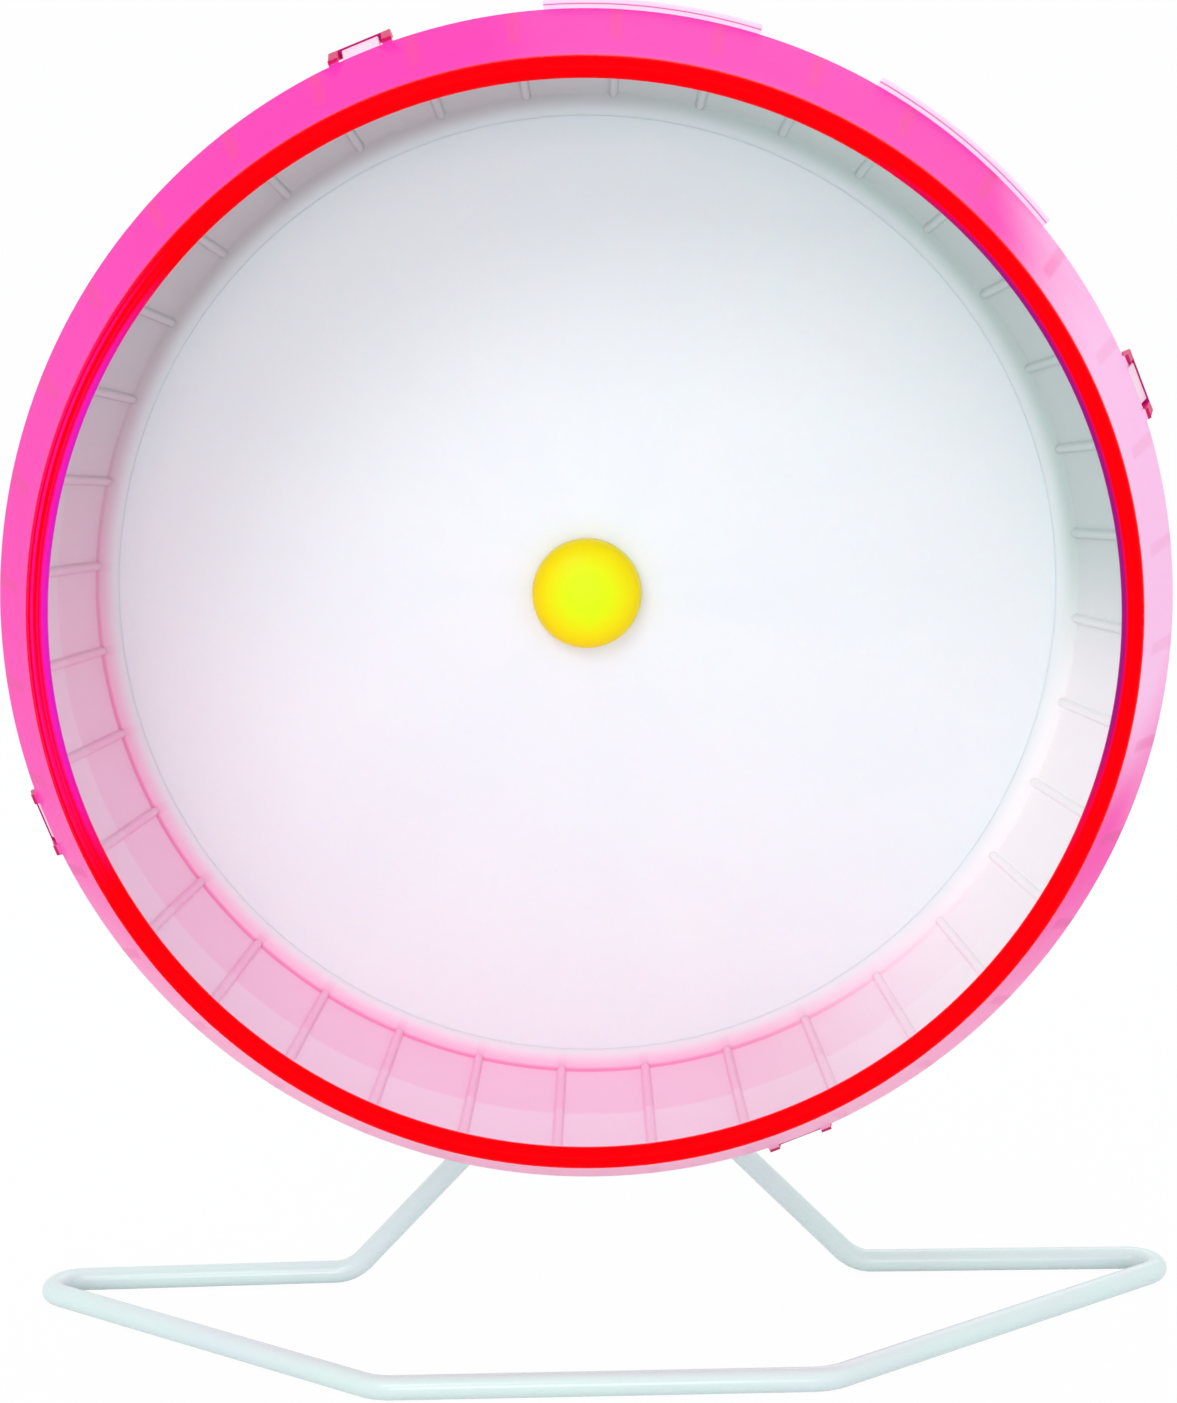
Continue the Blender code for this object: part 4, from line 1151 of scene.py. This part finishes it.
class WHEEL_OT_front_shell(bpy.types.Operator):
    """Models the front shell: cone, rounded lip, ribs and four latch loops"""

    bl_idname = "wheel.front_shell"
    bl_label = "Front Shell"

    def execute(self, context):
        drum = context.scene.wheel_drum
        bead = drum.lip_bead / 2
        centre = (drum.lip_radius - bead, bead)
        seam = drum.seam_depth
        start, runout = drum.front_rib_start, drum.rib_runout
        outer = (seam, seam - 0.4 * MM, seam * 0.66, seam * 0.33, bead * 2)
        outline = [(front_outer(drum, depth), depth) for depth in outer]
        outline += arc_points(centre, bead, math.radians(8), drum.lip_arc, 22)
        lifted_from, lifted_to = start + runout, seam - runout
        middle = lifted_from + (lifted_to - lifted_from) / 2
        inner = (bead * 3.4, start, lifted_from, middle, lifted_to, seam)
        outline += [(front_outer(drum, depth) - drum.wall, depth) for depth in inner]

        def on_inner_skin(radius, depth):
            inside = radius < front_outer(drum, depth) - drum.wall / 2
            return inside and lifted_from - NEAR < depth < lifted_to + NEAR

        shell = ribbed_shell("front_shell_moulding", drum, outline, on_inner_skin)
        unite(shell, latch_loop_body(drum))
        material = tinted_shell_finish(drum, context.scene.wheel_finishes)
        finish_piece(shell, material, "wheel", "pink_shell", "front_shell")
        return {"FINISHED"}


class WHEEL_OT_back_shell(bpy.types.Operator):
    """Models the back shell: ribbed running surface, two lugs, latch teeth and back flange"""

    bl_idname = "wheel.back_shell"
    bl_label = "Back Shell"

    def execute(self, context):
        drum, panel = context.scene.wheel_drum, context.scene.wheel_panel
        front = drum.seam_depth + drum.seam_gap
        back = drum.back_depth
        flange_front = back + panel.thickness + panel.seat_gap
        flange_rear = flange_front + drum.flange_thickness
        recess = drum.back_radius - panel.border + panel.edge_gap
        reach = drum.back_radius - panel.border + drum.seam_gap - drum.flange_land
        edge = drum.moulded_edge
        outer_corner = back_inner(drum, flange_rear) + drum.wall
        corners = [(back_inner(drum, front) + drum.wall, front, edge)]
        outer = (front + (back - front) / 2, back - 4 * MM)
        corners += [(back_inner(drum, depth) + drum.wall, depth, 0) for depth in outer]
        corners += [
            (outer_corner, flange_rear, drum.flange_fillet),
            (reach, flange_rear, edge),
            (reach, flange_front, edge),
            (recess, flange_front, 0),
            (recess, back, 0),
            (drum.back_radius, back, 0.8 * MM),
        ]
        crest = front + drum.rib_runout
        inner = (back - 3 * MM, (back + crest) / 2, crest, front)
        corners += [(back_inner(drum, depth), depth, 0) for depth in inner]
        outline = rounded(corners)

        skin, short_of_wall = 0.6 * MM, 0.05 * MM

        def on_running_surface(radius, depth):
            near_skin = abs(radius - back_inner(drum, depth)) < skin
            return near_skin and crest - NEAR < depth < back - short_of_wall

        shell = ribbed_shell("back_shell_moulding", drum, outline, on_running_surface)
        unite(shell, lug_body(drum))
        unite(shell, tooth_body(drum))
        material = pale_shell_finish(drum, panel, context.scene.wheel_finishes)
        finish_piece(shell, material, "wheel", "pale_pink_shell", "back_shell")
        return {"FINISHED"}


class WHEEL_OT_back_panel(bpy.types.Operator):
    """Models the back panel: disc, hub boss, spigot, rear ribs and snap hooks"""

    bl_idname = "wheel.back_panel"
    bl_label = "Back Panel"

    def execute(self, context):
        drum, panel = context.scene.wheel_drum, context.scene.wheel_panel
        places = axle_places(panel, drum, context.scene.wheel_axle)
        face, rear = drum.back_depth, drum.back_depth + panel.thickness
        edge = drum.moulded_edge
        radius = drum.back_radius - panel.border
        spigot = panel.cap_radius - panel.cap_wall - drum.seam_gap
        spigot_front = face - panel.spigot_height
        disc = lathe(
            "back_panel_moulding",
            [
                (panel.bore_radius, places["boss_rear"], 0.2 * MM),
                (panel.bore_radius, places["boss_front"], 0.2 * MM),
                (panel.boss_radius, places["boss_front"], edge),
                (panel.boss_radius + panel.boss_front, face, 0),
                (spigot - panel.spigot_wall, face, 0),
                (spigot - panel.spigot_wall, spigot_front, edge),
                (spigot, spigot_front, edge),
                (spigot, face, edge),
                (radius, face, 0),
                (radius, rear, edge),
                (panel.boss_foot + 2 * MM, rear, 2 * MM),
                (panel.boss_foot - MM, rear + MM, 2 * MM),
                (panel.boss_radius, places["boss_rear"], edge),
            ],
            sides=180,
        )
        hook_outer = drum.back_radius - panel.border - drum.flange_land
        rib_end = hook_outer - panel.hook_thickness - panel.rib_setback
        rib_middle = on_axle((panel.rib_start + rib_end) / 2, rear + (panel.rib_height - MM) / 2, 0)
        size = (rib_end - panel.rib_start, panel.rib_height + MM, panel.rib_width)
        ribs = block("panel_ribs", rib_middle, size)
        half_way, end_slope = (rib_end + panel.rib_start) / 2, 2.5 * MM
        select_where("verts", lambda v: v.co.y - LIP_FRONT > rear and v.co.x > half_way)
        bpy.ops.transform.translate(value=(-end_slope, 0, 0))
        bevel_sharp(0.5 * MM, angle=BLUNT)
        repeat_round(panel.rib_count)
        unite(disc, ribs)

        grip = rear + panel.seat_gap + drum.flange_thickness + drum.seam_gap
        tip = grip + panel.hook_tip
        sunk = rear - panel.thickness / 2
        inner = hook_outer - panel.hook_thickness
        outline = [
            (inner, sunk, 0),
            (hook_outer, sunk, 0),
            (hook_outer, grip, 0.2 * MM),
            (hook_outer + panel.hook_barb, grip, 0.2 * MM),
            (hook_outer + 0.2 * MM, tip, 0.4 * MM),
            (inner, tip, 0.3 * MM),
        ]
        spread = panel.hook_width / hook_outer
        start = math.pi / panel.hook_count - spread / 2
        hooks = swept_bar("snap_hooks", rounded(outline), start, spread, steps=4)
        repeat_round(panel.hook_count)
        unite(disc, hooks)
        material = white_panel_finish(context.scene.wheel_finishes)
        finish_piece(disc, material, "wheel", "white_panel", "back_panel")
        return {"FINISHED"}


class WHEEL_OT_hub_cap(bpy.types.Operator):
    """Models the domed hub cap"""

    bl_idname = "wheel.hub_cap"
    bl_label = "Hub Cap"

    def execute(self, context):
        drum, panel = context.scene.wheel_drum, context.scene.wheel_panel
        rear = drum.back_depth - drum.seam_gap
        brow = rear - panel.spigot_height - drum.seam_gap
        dome = panel.cap_height - (rear - brow)
        radius, wall, swell = panel.cap_radius, panel.cap_wall, 2 / panel.cap_swell
        steps = 18
        outer, inner = [], []
        for k in range(steps + 1):
            turned = math.pi / 2 * k / steps
            across = math.sin(turned) ** swell if k else 0
            along = math.cos(turned) ** swell if k < steps else 0
            outer.append((radius * across, brow - dome * along, 0))
            inner.append(((radius - wall) * across, brow - (dome - wall) * along, 0))
        rim = [(radius, rear, 0.4 * MM), (radius - wall, rear, 0.2 * MM)]
        cap = lathe("hub_cap_dome", outer + rim + inner[::-1])
        material = yellow_cap_finish(panel, context.scene.wheel_finishes)
        finish_piece(cap, material, "wheel", "yellow_cap", "hub_cap")
        return {"FINISHED"}


class WHEEL_OT_bushes(bpy.types.Operator):
    """Models the two flanged bushes that the drum turns on"""

    bl_idname = "wheel.bushes"
    bl_label = "Bushes"

    def execute(self, context):
        scene = context.scene
        drum, panel, axle = scene.wheel_drum, scene.wheel_panel, scene.wheel_axle
        places = axle_places(panel, drum, axle)
        bore = axle.bolt_radius + axle.clearance
        barrel = bore + axle.bush_wall
        middle = (places["boss_front"] + places["boss_rear"]) / 2
        edge = axle.turned_edge
        material = nylon_finish(scene.wheel_finishes)
        gap = axle.clearance / 2
        ends = (
            ("front_bush", places["front_bush_face"], places["front_bush_back"], middle - gap),
            ("rear_bush", places["rear_bush_back"], places["rear_bush_face"], middle + gap),
        )
        for node, face, shoulder, nose in ends:
            corners = [
                (bore, face, edge),
                (axle.bush_flange_radius, face, edge),
                (axle.bush_flange_radius, shoulder, edge),
                (barrel, shoulder, 0),
                (barrel, nose, 0.4 * MM),
                (bore, nose, edge),
            ]
            bush = lathe(node + "_turned", corners, sides=72)
            finish_piece(bush, material, "wheel", "nylon", node)
        return {"FINISHED"}


class WHEEL_OT_axle_set(bpy.types.Operator):
    """Models the bolt, washers, sleeve, lock washer and nut"""

    bl_idname = "wheel.axle_set"
    bl_label = "Axle Set"

    def execute(self, context):
        scene = context.scene
        drum, panel, axle = scene.wheel_drum, scene.wheel_panel, scene.wheel_axle
        looks = scene.wheel_finishes
        places = axle_places(panel, drum, axle)
        bore = axle.bolt_radius + axle.clearance
        edge = axle.turned_edge
        zinc = turned_steel_finish("zinc_plated_steel", looks.zinc, 0.3)
        spring = turned_steel_finish("blackened_spring_steel", looks.spring_steel, 0.42)
        rings = (
            ("front_washer", axle.washer_radius, "front_washer"),
            ("rear_washer", axle.washer_radius, "rear_washer"),
            ("axle_sleeve", axle.sleeve_radius, "sleeve"),
        )
        for node, radius, place in rings:
            face, back = places[place + "_face"], places[place + "_back"]
            ring = lathe(node + "_turned", ring_outline(bore, radius, face, back, edge), sides=72)
            finish_piece(ring, zinc, "stand", "zinc_steel", node)

        face, back = places["lock_washer_face"], places["lock_washer_back"]
        radius = axle.lock_washer_radius
        section = rounded(ring_outline(bore, radius, face, back, 0.15 * MM))
        slit = axle.lock_washer_slit / radius
        washer = swept_bar("lock_washer_split", section, slit / 2, 2 * math.pi - slit, steps=72)
        finish_piece(washer, spring, "stand", "spring_steel", "lock_washer")

        face, back = places["nut_face"], places["nut_back"]
        nut = hex_block("axle_nut_hexagon", axle.hex_across, face, back, True)
        hole = lathe("nut_bore", ring_outline(0, bore, face - MM, back + MM, 0), sides=72)
        unite(nut, hole, "DIFFERENCE")
        finish_piece(nut, zinc, "stand", "zinc_steel", "axle_nut", smooth_angle=HARD_EDGES)

        face, back = places["head_face"], places["head_back"]
        bolt = hex_block("axle_bolt_threaded", axle.hex_across, face, back, False)
        end, point = places["bolt_end"], 0.6 * MM
        crest, root = axle.bolt_radius, axle.bolt_radius - axle.thread_depth
        corners = [(0, back - MM, 0), (crest, back - MM, 0)]
        depth = places["sleeve_back"]
        while depth + axle.thread_pitch < end:
            for radius, share in ((crest, 0), (root, 0.4), (root, 0.5), (crest, 0.9)):
                corners.append((radius, depth + axle.thread_pitch * share, 0))
            depth += axle.thread_pitch
        corners += [(crest, end - point, 0), (crest - point, end, 0), (0, end, 0)]
        shank = lathe("bolt_shank", corners, sides=72)
        unite(bolt, shank)
        finish_piece(bolt, zinc, "stand", "zinc_steel", "axle_bolt", smooth_angle=HARD_EDGES)
        return {"FINISHED"}


class WHEEL_OT_stand(bpy.types.Operator):
    """Bends the stand from one coated wire"""

    bl_idname = "wheel.stand"
    bl_label = "Wire Stand"

    def execute(self, context):
        scene = context.scene
        drum, panel, stand = scene.wheel_drum, scene.wheel_panel, scene.wheel_stand
        axle = scene.wheel_axle
        places = axle_places(panel, drum, axle)
        wire = stand.wire_diameter / 2
        stem_half = axle.sleeve_radius + axle.clearance + wire
        stem_depth = (places["sleeve_face"] + places["sleeve_back"]) / 2
        leg_top = wire + (stand.inner_half - stem_half) * math.tan(stand.leg_slope)
        corners = [
            (0, stand.front_depth, wire, 0),
            (stand.front_half, stand.front_depth, wire, stand.front_bend),
            (stand.corner_half, stand.corner_depth, wire, stand.corner_bend),
            (stand.inner_half, stand.inner_depth, wire, stand.inner_bend),
            (stem_half, stem_depth, leg_top, stand.stem_bend),
            (stem_half, stem_depth, AXLE_HEIGHT, 0),
        ]
        turns = [Vector((x, LIP_FRONT + depth, z)) for x, depth, z, _bend in corners]
        bends = [bend for _x, _depth, _z, bend in corners]
        right = [turns[0]]
        for before, corner, after, bend in zip(turns, turns[1:], turns[2:], bends[1:]):
            right += bend_points(before, corner, after, bend)
        steps = 24
        over = [on_axle(stem_half, stem_depth, math.pi * k / steps) for k in range(steps + 1)]
        left = [Vector((-point.x, point.y, point.z)) for point in right[:0:-1]]
        path = draw_line("stand_wire", right + over + left, closed=True)
        select_only(path)
        bpy.ops.object.convert(target="CURVE")
        path.data.bevel_depth = wire
        path.data.bevel_resolution = 6
        bpy.ops.object.convert(target="MESH")
        bpy.ops.object.mode_set(mode="EDIT")
        merge_and_face_out()
        material = coated_wire_finish(scene.wheel_finishes)
        finish_piece(path, material, "stand", "coated_wire", "stand_frame")
        return {"FINISHED"}


# Floor and backdrop, in metres
FLOOR_SIZE = 6.0
BACKDROP_HEIGHT = 3.0
BACKDROP_BEND = 1.0

# Place and width of each lamp, in metres
LAMPS = {
    "key": ((-0.06, -1.45, 0.26), 0.4),
    "fill": ((-0.35, -1.0, 0.85), 0.5),
    "back": ((0.3, 0.9, 0.9), 0.8),
}


class WHEEL_OT_stage(bpy.types.Operator):
    """Sets the floor, the backdrop, the lamps and the camera"""

    bl_idname = "wheel.stage"
    bl_label = "Stage"

    def execute(self, context):
        scene = context.scene
        looks, settings = scene.wheel_finishes, scene.wheel_stage
        clear_selection()
        bpy.ops.mesh.primitive_plane_add(size=FLOOR_SIZE, location=(0, 0, 0))
        floor = start_edit("floor")
        rear = FLOOR_SIZE / 2 - NEAR
        select_where("edges", lambda e: all(v.co.y > rear for v in e.verts))
        bpy.ops.mesh.extrude_edges_move(TRANSFORM_OT_translate={"value": (0, 0, BACKDROP_HEIGHT)})
        select_where("edges", lambda e: all(v.co.y > rear and v.co.z < NEAR for v in e.verts))
        bevel_selected(BACKDROP_BEND, segments=16)
        select_only(floor)
        bpy.ops.object.shade_smooth()
        floor.data.materials.append(paper_finish(looks))
        self.light_world(scene, settings)
        for name, (place, width) in LAMPS.items():
            self.add_lamp(name + "_lamp", place, width, getattr(settings, name + "_power"))
        self.add_camera(scene, settings)
        scene.view_settings.view_transform = "Standard"
        return {"FINISHED"}

    @staticmethod
    def light_world(scene, settings):
        """Even grey light from all around, seen as white."""
        world = bpy.data.worlds.new("studio")
        scene.world = world
        world.use_nodes = True
        tree = world.node_tree
        tree.nodes.clear()
        light = {0: seen_directly(tree)}
        for place, strength in ((1, settings.ambient), (2, 1.0)):
            inputs = {"Color": WHITE, "Strength": strength}
            light[place] = add_node(tree, "ShaderNodeBackground", inputs).outputs[0]
        mixed = add_node(tree, "ShaderNodeMixShader", light)
        add_node(tree, "ShaderNodeOutputWorld", {"Surface": mixed.outputs[0]})

    @staticmethod
    def add_lamp(name, place, width, power):
        """A square area lamp that looks at the middle of the drum."""
        clear_selection()
        way = (AXLE - Vector(place)).to_track_quat("-Z", "Y").to_euler()
        bpy.ops.object.light_add(type="AREA", location=place, rotation=way)
        lamp = bpy.context.active_object
        lamp.name = name
        lamp.data.size = width
        lamp.data.energy = power

    @staticmethod
    def add_camera(scene, settings):
        """A camera at the photograph's place and angle. Its picture is 1177 wide and 1403 high."""
        clear_selection()
        yaw, pitch, roll = settings.camera_yaw, settings.camera_pitch, settings.camera_roll
        right = Vector((math.cos(yaw), math.sin(yaw), 0))
        ahead = Vector((-right.y * math.cos(pitch), right.x * math.cos(pitch), math.sin(pitch)))
        up = right.cross(ahead)
        across = right * math.cos(roll) + up * math.sin(roll)
        above = up * math.cos(roll) - right * math.sin(roll)
        axes = Matrix((across, above, -ahead)).transposed()
        bpy.ops.object.camera_add(location=settings.camera_place, rotation=axes.to_euler())
        camera = bpy.context.active_object
        camera.name = "camera"
        camera.data.sensor_width = 36
        camera.data.lens = settings.camera_lens
        camera.data.clip_start = 0.01
        scene.camera = camera


class WHEEL_PT_sidebar(bpy.types.Panel):
    """Lists the wheel's pieces, sizes and colours"""

    bl_idname = "WHEEL_PT_sidebar"
    bl_label = "Exercise Wheel"
    bl_space_type = "VIEW_3D"
    bl_region_type = "UI"
    bl_category = "Wheel"

    def draw(self, context):
        for operator in OPERATORS:
            self.layout.operator(operator.bl_idname)
        for attribute, group in GROUPS.items():
            box = self.layout.box()
            box.label(text=attribute.removeprefix("wheel_").title())
            for name in group.__annotations__:
                box.prop(getattr(context.scene, attribute), name)


GROUPS = {
    "wheel_drum": WheelDrumSizes,
    "wheel_panel": WheelPanelSizes,
    "wheel_axle": WheelAxleSizes,
    "wheel_stand": WheelStandSizes,
    "wheel_finishes": WheelFinishes,
    "wheel_stage": WheelStageSettings,
}

OPERATORS = (
    WHEEL_OT_front_shell,
    WHEEL_OT_back_shell,
    WHEEL_OT_back_panel,
    WHEEL_OT_hub_cap,
    WHEEL_OT_bushes,
    WHEEL_OT_axle_set,
    WHEEL_OT_stand,
    WHEEL_OT_stage,
)


def register():
    for attribute, group in GROUPS.items():
        bpy.utils.register_class(group)
        setattr(bpy.types.Scene, attribute, bpy.props.PointerProperty(type=group))
    for operator in OPERATORS:
        bpy.utils.register_class(operator)
    bpy.utils.register_class(WHEEL_PT_sidebar)


def unregister():
    bpy.utils.unregister_class(WHEEL_PT_sidebar)
    for operator in reversed(OPERATORS):
        bpy.utils.unregister_class(operator)
    for attribute, group in reversed(GROUPS.items()):
        delattr(bpy.types.Scene, attribute)
        bpy.utils.unregister_class(group)


def main():
    register()
    bpy.ops.wheel.front_shell()
    bpy.ops.wheel.back_shell()
    bpy.ops.wheel.back_panel()
    bpy.ops.wheel.hub_cap()
    bpy.ops.wheel.bushes()
    bpy.ops.wheel.axle_set()
    bpy.ops.wheel.stand()
    bpy.ops.wheel.stage()


if __name__ == "__main__":
    main()
